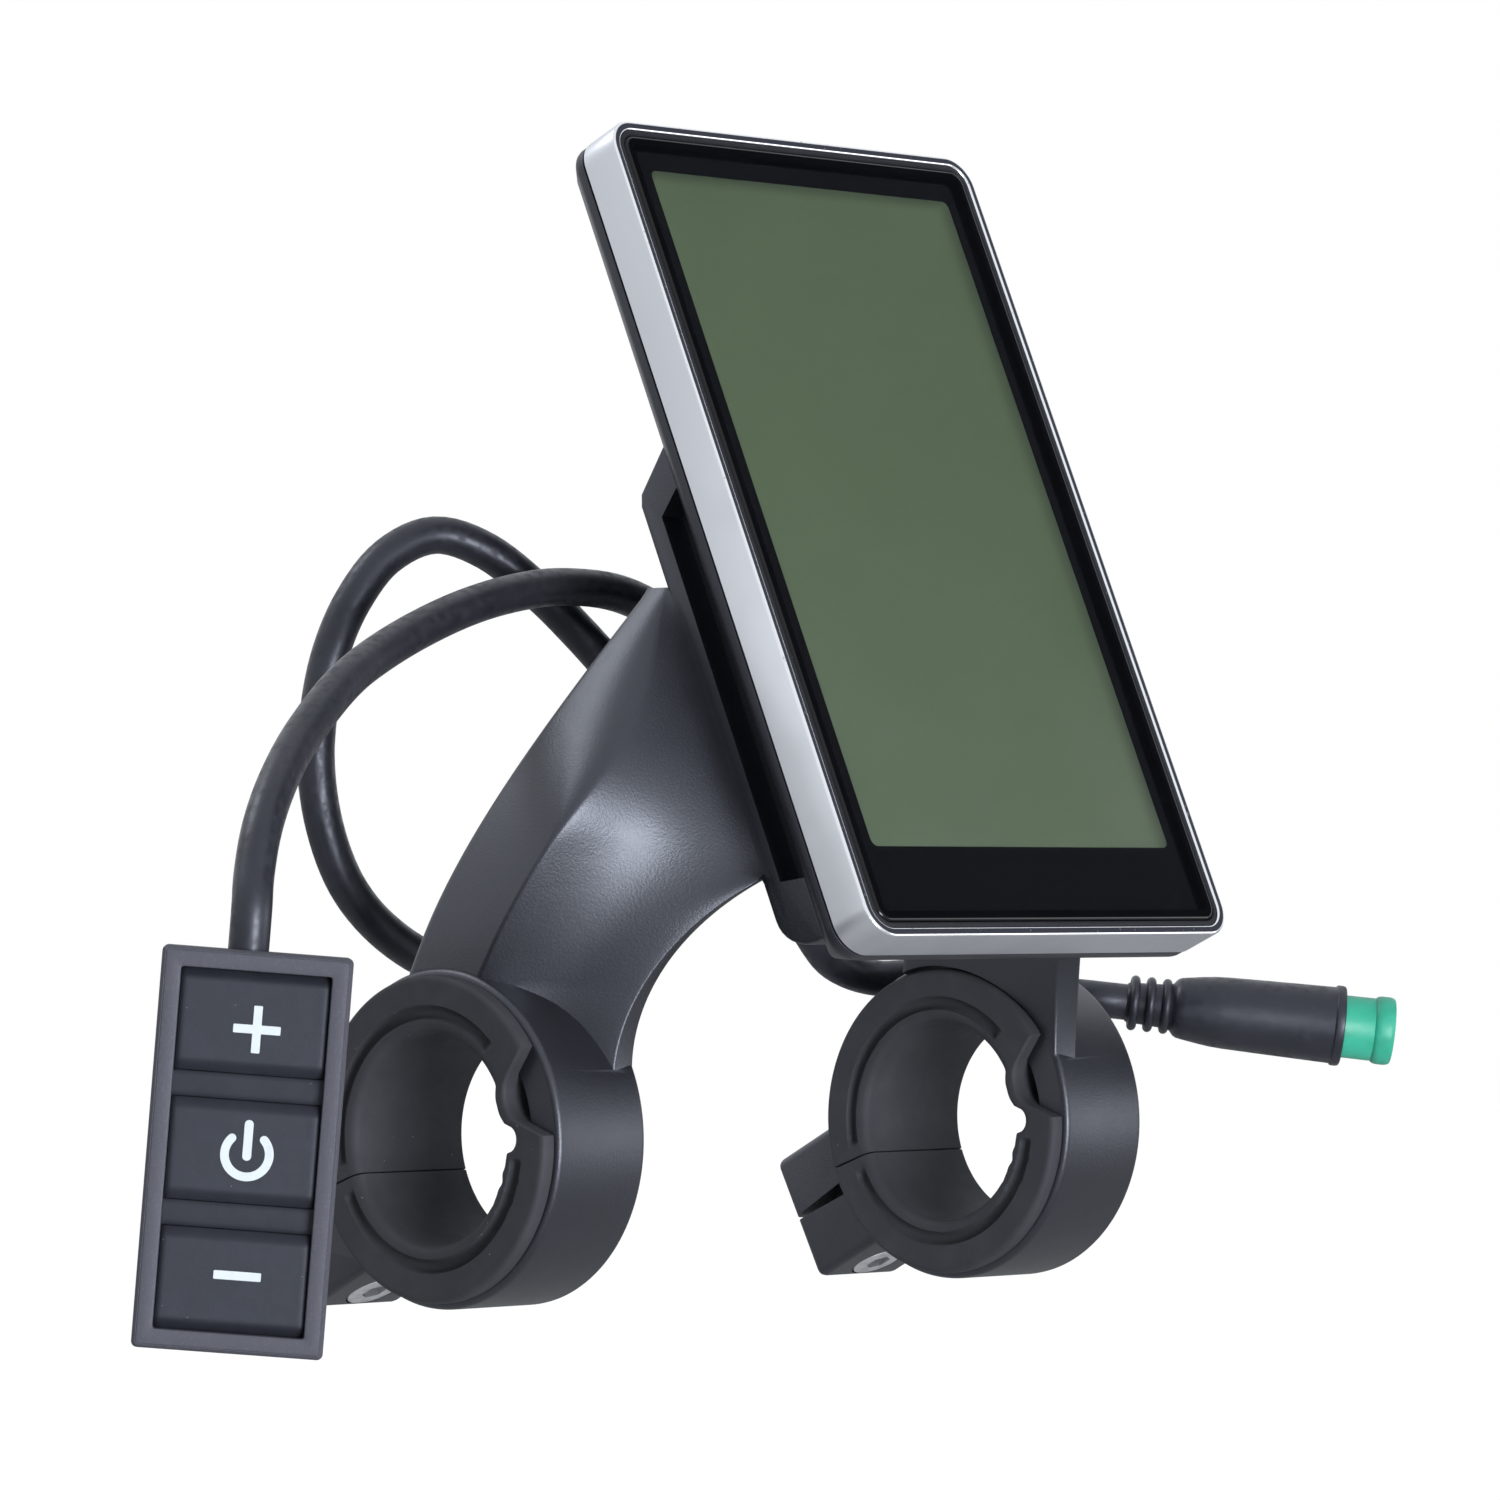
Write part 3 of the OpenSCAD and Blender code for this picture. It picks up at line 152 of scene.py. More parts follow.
class Finish:
    """A material under construction: a Principled shader fed by Object coordinates."""

    def __init__(self, name, colour, rough, **sockets):
        self.material = bpy.data.materials.new(name)
        self.material.use_nodes = True
        self.tree = self.material.node_tree
        self.tree.nodes.clear()
        self.shader = self.tree.nodes.new("ShaderNodeBsdfPrincipled")
        self.shader.inputs["Base Color"].default_value = colour
        self.shader.inputs["Roughness"].default_value = rough
        for key, value in sockets.items():
            self.shader.inputs[key.replace("_", " ")].default_value = value
        self.surface = self.tree.nodes.new("ShaderNodeOutputMaterial").inputs["Surface"]
        self.link(self.shader.outputs[0], self.surface)
        self.place = self.node("TexCoord")["Object"]
        self.colour, self.rough = colour, rough

    def link(self, source, target):
        self.tree.links.new(source, target)

    def node(self, kind, feeds=(), **settings):
        return wired(self.tree, "ShaderNode" + kind, feeds, **settings)

    def math(self, operation, *values):
        return self.node("Math", dict(enumerate(values)), operation=operation)[0]

    def on_face(self):
        """Place in millimetres in the display face's own frame, as X, Y and Z."""
        local = self.node("Mapping", {
            "Vector": self.place, "Location": (0, -FACE_UP, -FACE_OUT),
            "Rotation": (math.radians(LEAN - 90), 0, 0), "Scale": (1 / MM, 1 / MM, 1 / MM)})[0]
        return self.node("SeparateXYZ", {0: local})

    def noise(self, size_mm, detail, rough=0.5):
        """Cloudy pattern from 0 to 1 with features of about size_mm."""
        return self.node("TexNoise", {
            "Vector": self.place, "Scale": 1 / (size_mm * MM), "Detail": detail,
            "Roughness": rough})["Fac"]

    def cells(self, size_mm):
        """Distance to scattered points about size_mm apart, in point spacings."""
        return self.node("TexVoronoi", {
            "Vector": self.place, "Scale": 1 / (size_mm * MM)})["Distance"]

    def ramp(self, value, low, high, to_low=0.0, to_high=1.0):
        """Smooth step from one level to another while a value goes from low to high."""
        return self.node("MapRange", {
            "Value": value, "From Min": low, "From Max": high, "To Min": to_low,
            "To Max": to_high}, interpolation_type="SMOOTHSTEP")[0]

    def tint(self, amount, colour):
        """Blends a second colour in, by a pattern from 0 to 1."""
        self.colour = self.node("Mix", {
            "Factor": amount, "A": self.colour, "B": colour}, data_type="RGBA")["Result"]
        self.link(self.colour, self.shader.inputs["Base Color"])

    def roughen(self, amount, reach):
        """Adds reach times a pattern to the roughness."""
        self.rough = self.math("MULTIPLY_ADD", amount, reach, self.rough)
        self.link(self.rough, self.shader.inputs["Roughness"])

    def bump(self, amount, depth_mm):
        """Raises the surface by depth_mm times a pattern."""
        raised = self.node("Bump", {"Height": amount, "Distance": depth_mm * MM})[0]
        self.link(raised, self.shader.inputs["Normal"])


# Finishes
BLUISH = (0.84, 0.88, 1.0, 1.0)


def moulded_nylon(name, shade, rough, level=0.6):
    """Black moulding with a fine spark-eroded grain, its sparkle painted in as lighter specks.
    """
    f = Finish(name, srgb(shade, shade, shade + 5), rough, Specular_IOR_Level=level,
               Specular_Tint=BLUISH)
    f.tint(f.ramp(f.noise(9, 3), 0.35, 0.75), srgb(shade + 5, shade + 5, shade + 11))
    # Painted glints: the grain's sparkle is painted in as lighter specks
    speck = f.ramp(f.noise(0.34, 2, 0.7), 0.62, 0.78)
    f.tint(speck, srgb(shade + 26, shade + 26, shade + 33))
    f.roughen(f.noise(2.4, 3), 0.06)
    f.bump(f.noise(0.3, 2, 0.7), 0.03)
    return f.material


def soft_rubber(name, shade, rough=0.6):
    """Matte rubber with a little pale dust."""
    f = Finish(name, srgb(shade, shade, shade + 4), rough, Specular_IOR_Level=0.35,
               Specular_Tint=BLUISH)
    f.tint(f.ramp(f.noise(6, 4), 0.4, 0.8), srgb(shade + 7, shade + 7, shade + 11))
    dust = f.ramp(f.cells(1.7), 0.035, 0.06, 0.8, 0.0)
    patch = f.ramp(f.noise(7, 2), 0.5, 0.6)
    f.tint(f.math("MULTIPLY", dust, patch), srgb(150, 150, 158))
    f.roughen(f.noise(1.6, 3), 0.16)
    f.bump(f.noise(0.5, 3, 0.6), 0.02)
    return f.material


def lead_jacket():
    """Slightly glossy jacket of the leads and the plug, with scuffs."""
    f = Finish("lead_jacket", srgb(36, 36, 43), 0.36, Specular_IOR_Level=0.55,
               Specular_Tint=BLUISH)
    f.tint(f.ramp(f.noise(5, 3), 0.4, 0.75), srgb(31, 32, 38))
    scuff = f.ramp(f.noise(0.5, 4, 0.7), 0.6, 0.75, 0.0, 0.5)
    f.tint(scuff, srgb(62, 62, 70))
    f.roughen(f.ramp(f.noise(1.2, 4), 0.4, 0.7), 0.2)
    f.bump(f.noise(2.2, 3, 0.5), 0.03)
    return f.material


def satin_alloy():
    """Satin frame, with painted light brightening it towards its foot and painted shade dulling
    the foot itself.
    """
    f = Finish("satin_alloy", srgb(204, 206, 210), 0.36, Metallic=1.0)
    _, y, _ = f.on_face()
    painted_light_from, painted_light_to = 30, -30
    foot_shade_from, foot_shade_to = DISPLAY_LOW + 2.4, DISPLAY_LOW + 0.4
    # Painted light: the frame is painted brighter towards its foot
    f.tint(f.ramp(y, painted_light_from, painted_light_to), srgb(234, 236, 240))
    f.tint(f.ramp(f.noise(14, 2), 0.35, 0.75, 0.0, 0.5), srgb(202, 204, 208))
    # Painted shade: the frame's downward-facing foot is painted duller
    f.tint(f.ramp(y, foot_shade_from, foot_shade_to, 0.0, 0.6), srgb(182, 184, 190))
    nick = f.ramp(f.noise(0.5, 4, 0.75), 0.74, 0.8, 0.0, 0.6)
    f.tint(nick, srgb(168, 170, 176))
    f.roughen(f.noise(1.1, 3), 0.05)
    f.bump(f.noise(0.16, 2), 0.003)
    return f.material


def polished_alloy():
    """Bright lip of the frame, with dull nicks."""
    f = Finish("polished_alloy", srgb(238, 239, 242), 0.14, Metallic=1.0)
    nick = f.ramp(f.noise(0.7, 3), 0.66, 0.74)
    f.tint(nick, srgb(170, 172, 178))
    f.roughen(nick, 0.3)
    f.bump(f.noise(0.5, 3), 0.004)
    return f.material


def bright_steel(shade):
    """Plated steel of the screws, mottled and a little worn."""
    f = Finish("bright_steel", srgb(shade, shade, shade + 3), 0.3, Metallic=1.0)
    f.tint(f.ramp(f.noise(1.5, 3), 0.45, 0.7), srgb(shade - 26, shade - 26, shade - 22))
    f.roughen(f.noise(0.6, 3), 0.15)
    f.bump(f.noise(0.3, 2), 0.005)
    return f.material


def clear_glass():
    """Cover glass, a little hazy in patches."""
    f = Finish("clear_glass", (1, 1, 1, 1), 0.0, IOR=1.45, Transmission_Weight=1.0)
    f.roughen(f.ramp(f.noise(11, 3), 0.5, 0.8), 0.01)
    return f.material


def border_ink(name, rough):
    """Black print behind the glass, and the glossy black band along the glass's edge."""
    f = Finish(name, srgb(7, 7, 9), rough, Specular_IOR_Level=0.3)
    f.tint(f.ramp(f.noise(8, 2), 0.4, 0.8), srgb(10, 10, 12))
    f.roughen(f.noise(2, 2), 0.03)
    return f.material


def crystal_panel():
    """Grey-green liquid crystal, with painted light paling it towards its foot and painted shade
    from the frame along its top and right edges.
    """
    f = Finish("crystal_panel", srgb(92, 108, 81), 0.5, Specular_IOR_Level=0.2)
    x, y, _ = f.on_face()
    painted_pale_from, painted_pale_to = 10, -42
    # Painted light: the panel is painted paler towards its foot
    f.tint(f.ramp(y, painted_pale_from, painted_pale_to), srgb(102, 115, 94))
    f.tint(f.ramp(f.noise(26, 3), 0.3, 0.7, 0.0, 0.5), srgb(90, 106, 79))
    top, top_reach = WINDOW_H / 2 + WINDOW_RISE, 1.9
    right, right_reach = WINDOW_W / 2, 3.2
    # Painted shade: the frame's shade along the top and right edges is painted in
    shade_top = f.ramp(y, top - top_reach, top + 0.1, 0.0, 0.6)
    shade_right = f.ramp(x, right - right_reach, right + 0.2, 0.0, 0.55)
    f.tint(f.math("MAXIMUM", shade_top, shade_right), srgb(52, 62, 48))
    f.bump(f.noise(0.4, 2), 0.002)
    return f.material


def green_insert():
    """Cloudy green plastic of the plug's insert."""
    f = Finish("green_insert", srgb(54, 174, 144), 0.36, Specular_IOR_Level=0.5)
    f.tint(f.ramp(f.noise(3, 3), 0.4, 0.75), srgb(46, 162, 132))
    f.roughen(f.noise(1, 3), 0.15)
    f.bump(f.noise(0.4, 2), 0.01)
    return f.material


def remote_shell_paint():
    """Dark grey soft paint, its fine sparkle painted in as lighter specks."""
    f = Finish("remote_shell_paint", srgb(72, 72, 80), 0.5, Specular_IOR_Level=0.5,
               Specular_Tint=BLUISH)
    # Painted glints: the paint's sparkle is painted in as lighter specks
    f.tint(f.ramp(f.noise(0.35, 3), 0.5, 0.75, 0.0, 0.6), srgb(86, 86, 95))
    f.roughen(f.noise(0.8, 3), 0.14)
    f.bump(f.noise(0.22, 3, 0.6), 0.02)
    return f.material


def key_rubber(name, shade):
    """Smooth rubber of the keys, with specks of dust."""
    f = Finish(name, srgb(shade, shade + 2, shade + 9), 0.5, Specular_IOR_Level=0.45,
               Specular_Tint=BLUISH)
    f.tint(f.ramp(f.noise(4, 3), 0.4, 0.8), srgb(shade + 4, shade + 6, shade + 14))
    dust = f.ramp(f.cells(1.5), 0.03, 0.055, 0.7, 0.0)
    f.tint(f.math("MULTIPLY", dust, f.ramp(f.noise(6, 2), 0.48, 0.58)), srgb(130, 134, 142))
    f.roughen(f.noise(1.1, 3), 0.16)
    f.bump(f.noise(0.3, 2), 0.012)
    return f.material


def white_print():
    """Slightly worn white print."""
    f = Finish("white_print", srgb(214, 222, 227), 0.5)
    f.tint(f.ramp(f.noise(1.2, 3), 0.5, 0.8), srgb(206, 213, 219))
    f.roughen(f.noise(0.8, 2), 0.1)
    return f.material


def board_lacquer():
    """Green lacquer of the circuit boards."""
    f = Finish("board_lacquer", srgb(22, 84, 50), 0.35)
    f.tint(f.ramp(f.noise(1.5, 3), 0.5, 0.7), srgb(30, 104, 62))
    f.roughen(f.noise(1, 2), 0.15)
    return f.material


def plain_part(name, colour, rough, **sockets):
    """Small inner pieces: one colour with a little mottle."""
    f = Finish(name, colour, rough, **sockets)
    darker = tuple(0.8 * c for c in colour[:3]) + (1.0,)
    f.tint(f.ramp(f.noise(2, 3), 0.4, 0.75), darker)
    f.roughen(f.noise(1, 2), 0.1)
    return f.material


NYLON = moulded_nylon("bracket_nylon", 20, 0.36, 0.9)
SHELL_BLACK = moulded_nylon("shell_black", 26, 0.4)
SLEEVE_RUBBER = soft_rubber("sleeve_rubber", 56)
SEAL_RUBBER = soft_rubber("seal_rubber", 20, 0.5)
JACKET = lead_jacket()
ALLOY = satin_alloy()
POLISH = polished_alloy()
STEEL = bright_steel(228)
GLASS = clear_glass()
INK = border_ink("border_ink", 0.12)
EDGE_INK = border_ink("edge_ink", 0.04)
PANEL = crystal_panel()
INSERT_GREEN = green_insert()
REMOTE_PAINT = remote_shell_paint()
KEY_RUBBER = key_rubber("key_rubber", 34)
# Painted shade: a darker copy of the key rubber, for the shade on the sunken bars between the
# keys
SHADED_BAR_RUBBER = key_rubber("bar_rubber", 24)
PRINT = white_print()
BOARD = board_lacquer()
CHIPS = plain_part("chip_resin", srgb(34, 34, 36), 0.5)
DIFFUSER = plain_part("diffuser", srgb(226, 226, 220), 0.6)
CONTACT = plain_part("contact_gold", srgb(212, 172, 84), 0.25, Metallic=1.0)
STRIP = plain_part("strip_rubber", srgb(120, 120, 126), 0.6)


# Mesh tools
def smooth(mesh, angle):
    """Smooth shading, with edges steeper than the angle kept crisp."""
    for face in mesh.polygons:
        face.use_smooth = True
    mesh.set_sharp_from_angle(angle=math.radians(angle))


def stand_in(name, mesh, materials, node=None, crisp=40, body="display"):
    """A finished piece on its body, in the place of a CAD node where one is named."""
    obj = bpy.data.objects.new(name, mesh)
    scene.collection.objects.link(obj)
    for material in materials:
        mesh.materials.append(material)
    if crisp:
        smooth(mesh, crisp)
    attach(obj, body)
    if node:
        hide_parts(node)
    return obj


def dress(node, material):
    """A CAD node that shows as it is, in its own finish."""
    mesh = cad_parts[node].data
    mesh.materials.clear()
    mesh.materials.append(material)


def plain_object(mesh):
    """A passing object that only helps to make a piece."""
    obj = bpy.data.objects.new("tool", mesh)
    scene.collection.objects.link(obj)
    return obj


def mesh_of(obj):
    """A tool object's mesh, once the object itself is gone."""
    mesh = obj.data
    bpy.data.objects.remove(obj)
    return mesh


def settle(obj):
    """Turns an object and its modifiers into one plain mesh."""
    evaluated = obj.evaluated_get(bpy.context.evaluated_depsgraph_get())
    mesh = bpy.data.meshes.new_from_object(evaluated)
    obj.modifiers.clear()
    obj.data = mesh
    return obj


def joined(*meshes):
    """One mesh of several."""
    work = bmesh.new()
    for mesh in meshes:
        work.from_mesh(mesh)
    whole = bpy.data.meshes.new("joined")
    work.to_mesh(whole)
    work.free()
    return whole


def put(mesh, matrix):
    """A mesh moved to its place, its faces still outwards."""
    mesh.transform(matrix)
    if matrix.determinant() < 0:
        mesh.flip_normals()
    return mesh


def ease(obj, width, segments=3, angle=35, miter="MITER_SHARP"):
    """Rounds an object's steep edges over and settles it."""
    bevel = obj.modifiers.new("eased_edges", "BEVEL")
    bevel.width = width
    bevel.segments = segments
    bevel.limit_method = "ANGLE"
    bevel.angle_limit = math.radians(angle)
    bevel.miter_outer = miter
    return settle(obj)


def combine(obj, meshes, operation):
    """Joins meshes to an object, or cuts them from it."""
    group = bpy.data.collections.new("tools")
    scene.collection.children.link(group)
    tools = [bpy.data.objects.new("tool", mesh) for mesh in meshes]
    for tool in tools:
        group.objects.link(tool)
    step = obj.modifiers.new("combine", "BOOLEAN")
    step.operation = operation
    step.solver = "EXACT"
    step.operand_type = "COLLECTION"
    step.collection = group
    settle(obj)
    for tool in tools:
        bpy.data.objects.remove(tool)
    bpy.data.collections.remove(group)
    return obj


def eased_copy(node, name, width, segments=2):
    """Copy of a black CAD shell with its edges rounded over, standing in its place."""
    merge_mm, flat_angle, edge_angle = 0.002, 1.5, 30
    work = bmesh.new()
    work.from_mesh(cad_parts[node].data)
    bmesh.ops.remove_doubles(work, verts=work.verts, dist=merge_mm * MM)
    bmesh.ops.dissolve_limit(
        work, angle_limit=math.radians(flat_angle), verts=work.verts, edges=work.edges,
        delimit={"NORMAL"},
    )
    mesh = bpy.data.meshes.new(name)
    work.to_mesh(mesh)
    work.free()
    eased = ease(plain_object(mesh), width * MM, segments, edge_angle, "MITER_ARC")
    stand_in(name, mesh_of(eased), [SHELL_BLACK], node, 32)


# Shapes drawn as outlines
def bowed(start, middle, end, count):
    """Points on the curve from start to end that bends towards the middle point."""
    return [
        (1 - s) ** 2 * start + 2 * s * (1 - s) * middle + s * s * end
        for s in (k / count for k in range(count + 1))]


def filleted(corners, radii, steps):
    """Corners of a closed outline, each rounded by its radius where its sides allow it."""
    points = []
    count = len(corners)
    for i, (corner, radius) in enumerate(zip(corners, radii)):
        here = Vector(corner)
        back = Vector(corners[i - 1]) - here
        ahead = Vector(corners[(i + 1) % count]) - here
        reach = 0.45 * min(back.length, ahead.length)
        back.normalize()
        ahead.normalize()
        half = 0.5 * math.acos(max(-1.0, min(1.0, back.dot(ahead))))
        cut = min(radius / max(math.tan(half), 1e-4), reach)
        start, end = here + back * cut, here + ahead * cut
        points += bowed(start, here, end, steps)
    return points


def rounded_outline(width, height, radius, steps, middle=(0, 0)):
    """Rectangle with round corners."""
    points = []
    x, y = width / 2 - radius, height / 2 - radius
    for turn, (sx, sy) in enumerate(((1, 1), (-1, 1), (-1, -1), (1, -1))):
        for k in range(steps + 1):
            angle = math.radians(90 * turn + 90 * k / steps)
            points.append(Vector((
                middle[0] + sx * x + radius * math.cos(angle),
                middle[1] + sy * y + radius * math.sin(angle),
            )))
    return points


def skin(rings, around=False, finish=None):
    """Mesh over a row of rings, capped unless it runs around; finish gives each row its slot."""
    work = bmesh.new()
    rows = [[work.verts.new(p) for p in ring] for ring in rings]
    pairs = list(zip(rows, rows[1:])) + ([(rows[-1], rows[0])] if around else [])
    for row, (low, high) in enumerate(pairs):
        for k in range(len(low)):
            n = (k + 1) % len(low)
            face = work.faces.new((low[k], low[n], high[n], high[k]))
            face.material_index = finish[row] if finish else 0
    if not around:
        work.faces.new(list(reversed(rows[0])))
        last = work.faces.new(rows[-1])
        last.material_index = finish[-1] if finish else 0
    bmesh.ops.recalc_face_normals(work, faces=work.faces)
    mesh = bpy.data.meshes.new("skin")
    work.to_mesh(mesh)
    work.free()
    return mesh


def stand(outline, depth):
    """An outline at a depth behind a face."""
    return [Vector((p[0], p[1], -depth)) for p in outline]


def frame_rings(profile, width, height, radius, steps):
    """Rings of a frame: one outline for each (inset, depth) of its profile."""
    return [
        stand(rounded_outline(
            width - 2 * inset, height - 2 * inset, max(radius - inset, 0.3), steps), depth)
        for inset, depth in profile
    ]


def lathe(profile, sides, axis="X"):
    """Rings turned about an axis, one for each (along, radius) of a profile."""
    rings = []
    for along, radius in profile:
        ring = []
        for k in range(sides):
            angle = 2 * math.pi * k / sides
            a, b = radius * math.cos(angle), radius * math.sin(angle)
            ring.append(Vector((along, a, b)) if axis == "X" else Vector((a, b, along)))
        rings.append(ring)
    return rings


def turned_solid(profile, sides=64):
    """Solid of revolution about Z from (height, radius) pairs, closed at both ends."""
    return skin(lathe(profile, sides, "Z"))


def drum(radius, left, right, sides=160):
    """Round rod along the handlebar's axis."""
    return skin(lathe([(left, radius), (right, radius)], sides))


def across(outline, half):
    """Side outline drawn across, from -half to half along X."""
    return skin([[Vector((x, *p)) for p in outline] for x in (-half, half)])


def rod(radius, low, high, sides=48, at=(0, 0)):
    """Round rod along Z."""
    rings = [
        [Vector((at[0] + radius * math.cos(2 * math.pi * k / sides),
                 at[1] + radius * math.sin(2 * math.pi * k / sides), z))
         for k in range(sides)]
        for z in (low, high)
    ]
    return skin(rings)


def boxed(low, high):
    """Box between two corners."""
    xs, ys, zs = zip(low, high)
    corners = ((xs[0], ys[0]), (xs[1], ys[0]), (xs[1], ys[1]), (xs[0], ys[1]))
    return skin([[Vector((*p, z)) for p in corners] for z in zs])


def share(value, low, high):
    """How far a value has come from low to high, from 0 to 1."""
    return max(0.0, min(1.0, (value - low) / (high - low)))


# Leads
REMOTE_LEAD_POINTS = [
    (7.5, -2, 57.5), (5, 3.5, 58.2), (0.7, 7.8, 60.9), (-5.8, 9.7, 64.6),
    (-12.9, 10.4, 66.7), (-22, 10.5, 67), (-31, 9.5, 65.9), (-39.9, 8.4, 63.9),
    (-48.9, 6.9, 61.1), (-57.5, 5, 57.9), (-65.6, 2.1, 54.6), (-73, -1, 50.6),
    (-79.9, -4.1, 46.1), (-85.8, -7.2, 41.4), (-90.4, -9.9, 36.5), (-93.2, -11.7, 31.5),
]
MAIN_LEAD_POINTS = [
    (-6, -7, 46), (-6.4, -0.1, 46.7), (-7.8, 5.8, 50.3), (-10.2, 10.7, 55.4),
    (-13.6, 15.1, 61.5), (-17.8, 18.3, 66.7), (-23.6, 21.6, 71.7), (-29.8, 24.5, 73.6),
    (-36, 26.5, 70.8), (-40.7, 27.6, 65.3), (-43.5, 28.6, 58.9), (-44.8, 29.3, 52),
    (-44.9, 29.8, 45), (-43.6, 29.6, 37.4), (-40.5, 29, 30.3), (-35.4, 28, 24.8),
    (-28.2, 26.7, 20.7), (-20, 26, 19.4), (-13, 25, 21.5), (-7, 24.5, 26),
    (-1, 24, 31.5), (6, 24, 36.5), (14, 24, 39), (22, 24, 38.5), (28.9, 24.1, 34.9),
    (34.3, 24.2, 29.3), (38.1, 23.9, 23.9), (42.4, 23.5, 19.9), (48, 21.6, 18),
    (53.4, 17, 18.1), (57.8, 9.2, 17.1), (61, 1, 15.9),
]
ENTRY_X, ENTRY_DEPTH = -1.15, 5.0
SEAM_SIDE = Vector((0.3, 1, 0.2))


def face_point(x, up, depth):
    """A place given across, up and behind the display's face, in metres."""
    return ON_FACE @ Vector((x, up, -depth))


def remote_point(x, up, depth):
    """A place given across, up and behind the remote's face, in metres."""
    return ON_REMOTE @ Vector((x, up, -depth))


def smooth_route(points, steps=6):
    """A finer route through the same points, on one smooth curve."""
    route = []
    padded = [2 * points[0] - points[1], *points, 2 * points[-1] - points[-2]]
    for a, b, c, d in zip(padded, padded[1:], padded[2:], padded[3:]):
        for i in range(steps):
            t = i / steps
            route.append(
                0.5 * (2 * b + (c - a) * t + (2 * a - 5 * b + 4 * c - d) * t * t
                       + (3 * b - a - 3 * c + d) * t ** 3)
            )
    route.append(points[-1])
    return route


def tube(route, radius, sides=20):
    """Mesh of a round lead along a route, closed at both ends."""
    work = bmesh.new()
    side = None
    rings = []
    for i, point in enumerate(route):
        aim = (route[min(i + 1, len(route) - 1)] - route[max(i - 1, 0)]).normalized()
        side = aim.cross(SEAM_SIDE) if side is None else side
        side = (side - aim * side.dot(aim)).normalized()
        other = aim.cross(side)
        rings.append([
            work.verts.new(point + radius * (math.cos(a) * side + math.sin(a) * other))
            for a in (2 * math.pi * k / sides for k in range(sides))
        ])
    for low, high in zip(rings, rings[1:]):
        for k in range(sides):
            n = (k + 1) % sides
            work.faces.new((low[k], low[n], high[n], high[k]))
    work.faces.new(list(reversed(rings[0])))
    work.faces.new(rings[-1])
    mesh = bpy.data.meshes.new("lead")
    work.to_mesh(mesh)
    work.free()
    return mesh


def make_lead(name, node, points):
    """A round lead through its points, standing in for its CAD node."""
    route = smooth_route(points)
    lead = stand_in(name, tube(route, LEAD_D / 2 * MM), [JACKET], node, 50)


def make_leads():
    """Both leads, from the strain reliefs to the remote and to the plug."""
    exits = [face_point(x, up, SHELL_BACK + GLAND_REACH) for x, up in GLAND_PLACES]
    ahead = face_point(0, 0, LEAD_D) - face_point(0, 0, 0)
    entry = remote_point(ENTRY_X, REMOTE_H / 2 - REMOTE_WALL, ENTRY_DEPTH)
    before_entry = remote_point(ENTRY_X, REMOTE_H / 2 + LEAD_D, ENTRY_DEPTH)
    plug = ON_PLUG @ Vector((0, 0, 0))
    before_plug = ON_PLUG @ Vector((0, 0, -LEAD_D))
    make_lead(
        "remote_lead_tube", "remote_lead",
        [exits[0], exits[0] + ahead, *[Vector(p) * MM for p in REMOTE_LEAD_POINTS],
         before_entry, entry],
    )
    make_lead(
        "main_lead_tube", "main_lead",
        [exits[1], exits[1] + ahead, *[Vector(p) * MM for p in MAIN_LEAD_POINTS],
         before_plug, plug],
    )


# Geometry Nodes
class Tree:
    """A Geometry Nodes tree under construction, with named inputs for its sizes."""

    def __init__(self, name):
        self.group = bpy.data.node_groups.new(name, "GeometryNodeTree")
        self.group.interface.new_socket(
            "Geometry", in_out="OUTPUT", socket_type="NodeSocketGeometry")
        self.entry = self.group.nodes.new("NodeGroupInput")
        self.exit = self.group.nodes.new("NodeGroupOutput")

    def size(self, name, kind, value=None):
        """A named input; returns its outlet inside the tree."""
        socket = self.group.interface.new_socket(
            name, in_out="INPUT", socket_type="NodeSocket" + kind)
        if value is not None:
            socket.default_value = value
        return self.entry.outputs[name]

    def node(self, kind, feeds=(), **settings):
        return wired(self.group, kind, feeds, **settings)

    def close(self, geometry, material):
        real = self.node("GeometryNodeRealizeInstances", {"Geometry": geometry})[0]
        smoothed = self.node("GeometryNodeSetShadeSmooth", {"Geometry": real})[0]
        done = self.node(
            "GeometryNodeSetMaterial", {"Geometry": smoothed, "Material": material})[0]
        self.group.links.new(done, self.exit.inputs[0])
        return self.group


def ring_row_tree():
    """Rounded rings in a row along Z, as on a strain relief."""
    tree = Tree("ring_row")
    count = tree.size("Ring count", "Int", 3)
    first = tree.size("First height", "Float", 1.0)
    step = tree.size("Ring step", "Float", 2.0)
    radius = tree.size("Row radius", "Float", 3.0)
    thick = tree.size("Ring radius", "Float", 0.5)
    material = tree.size("Finish", "Material")
    start = tree.node("ShaderNodeCombineXYZ", {"Z": first})[0]
    stride = tree.node("ShaderNodeCombineXYZ", {"Z": step})[0]
    line = tree.node("GeometryNodeMeshLine", {
        "Count": count, "Start Location": start, "Offset": stride})[0]
    circle = "GeometryNodeCurvePrimitiveCircle"
    path = tree.node(circle, {"Resolution": 48, "Radius": radius})[0]
    section = tree.node(circle, {"Resolution": 14, "Radius": thick})[0]
    ring = tree.node("GeometryNodeCurveToMesh", {"Curve": path, "Profile Curve": section})[0]
    rings = tree.node("GeometryNodeInstanceOnPoints", {"Points": line, "Instance": ring})[0]
    return tree.close(rings, material)


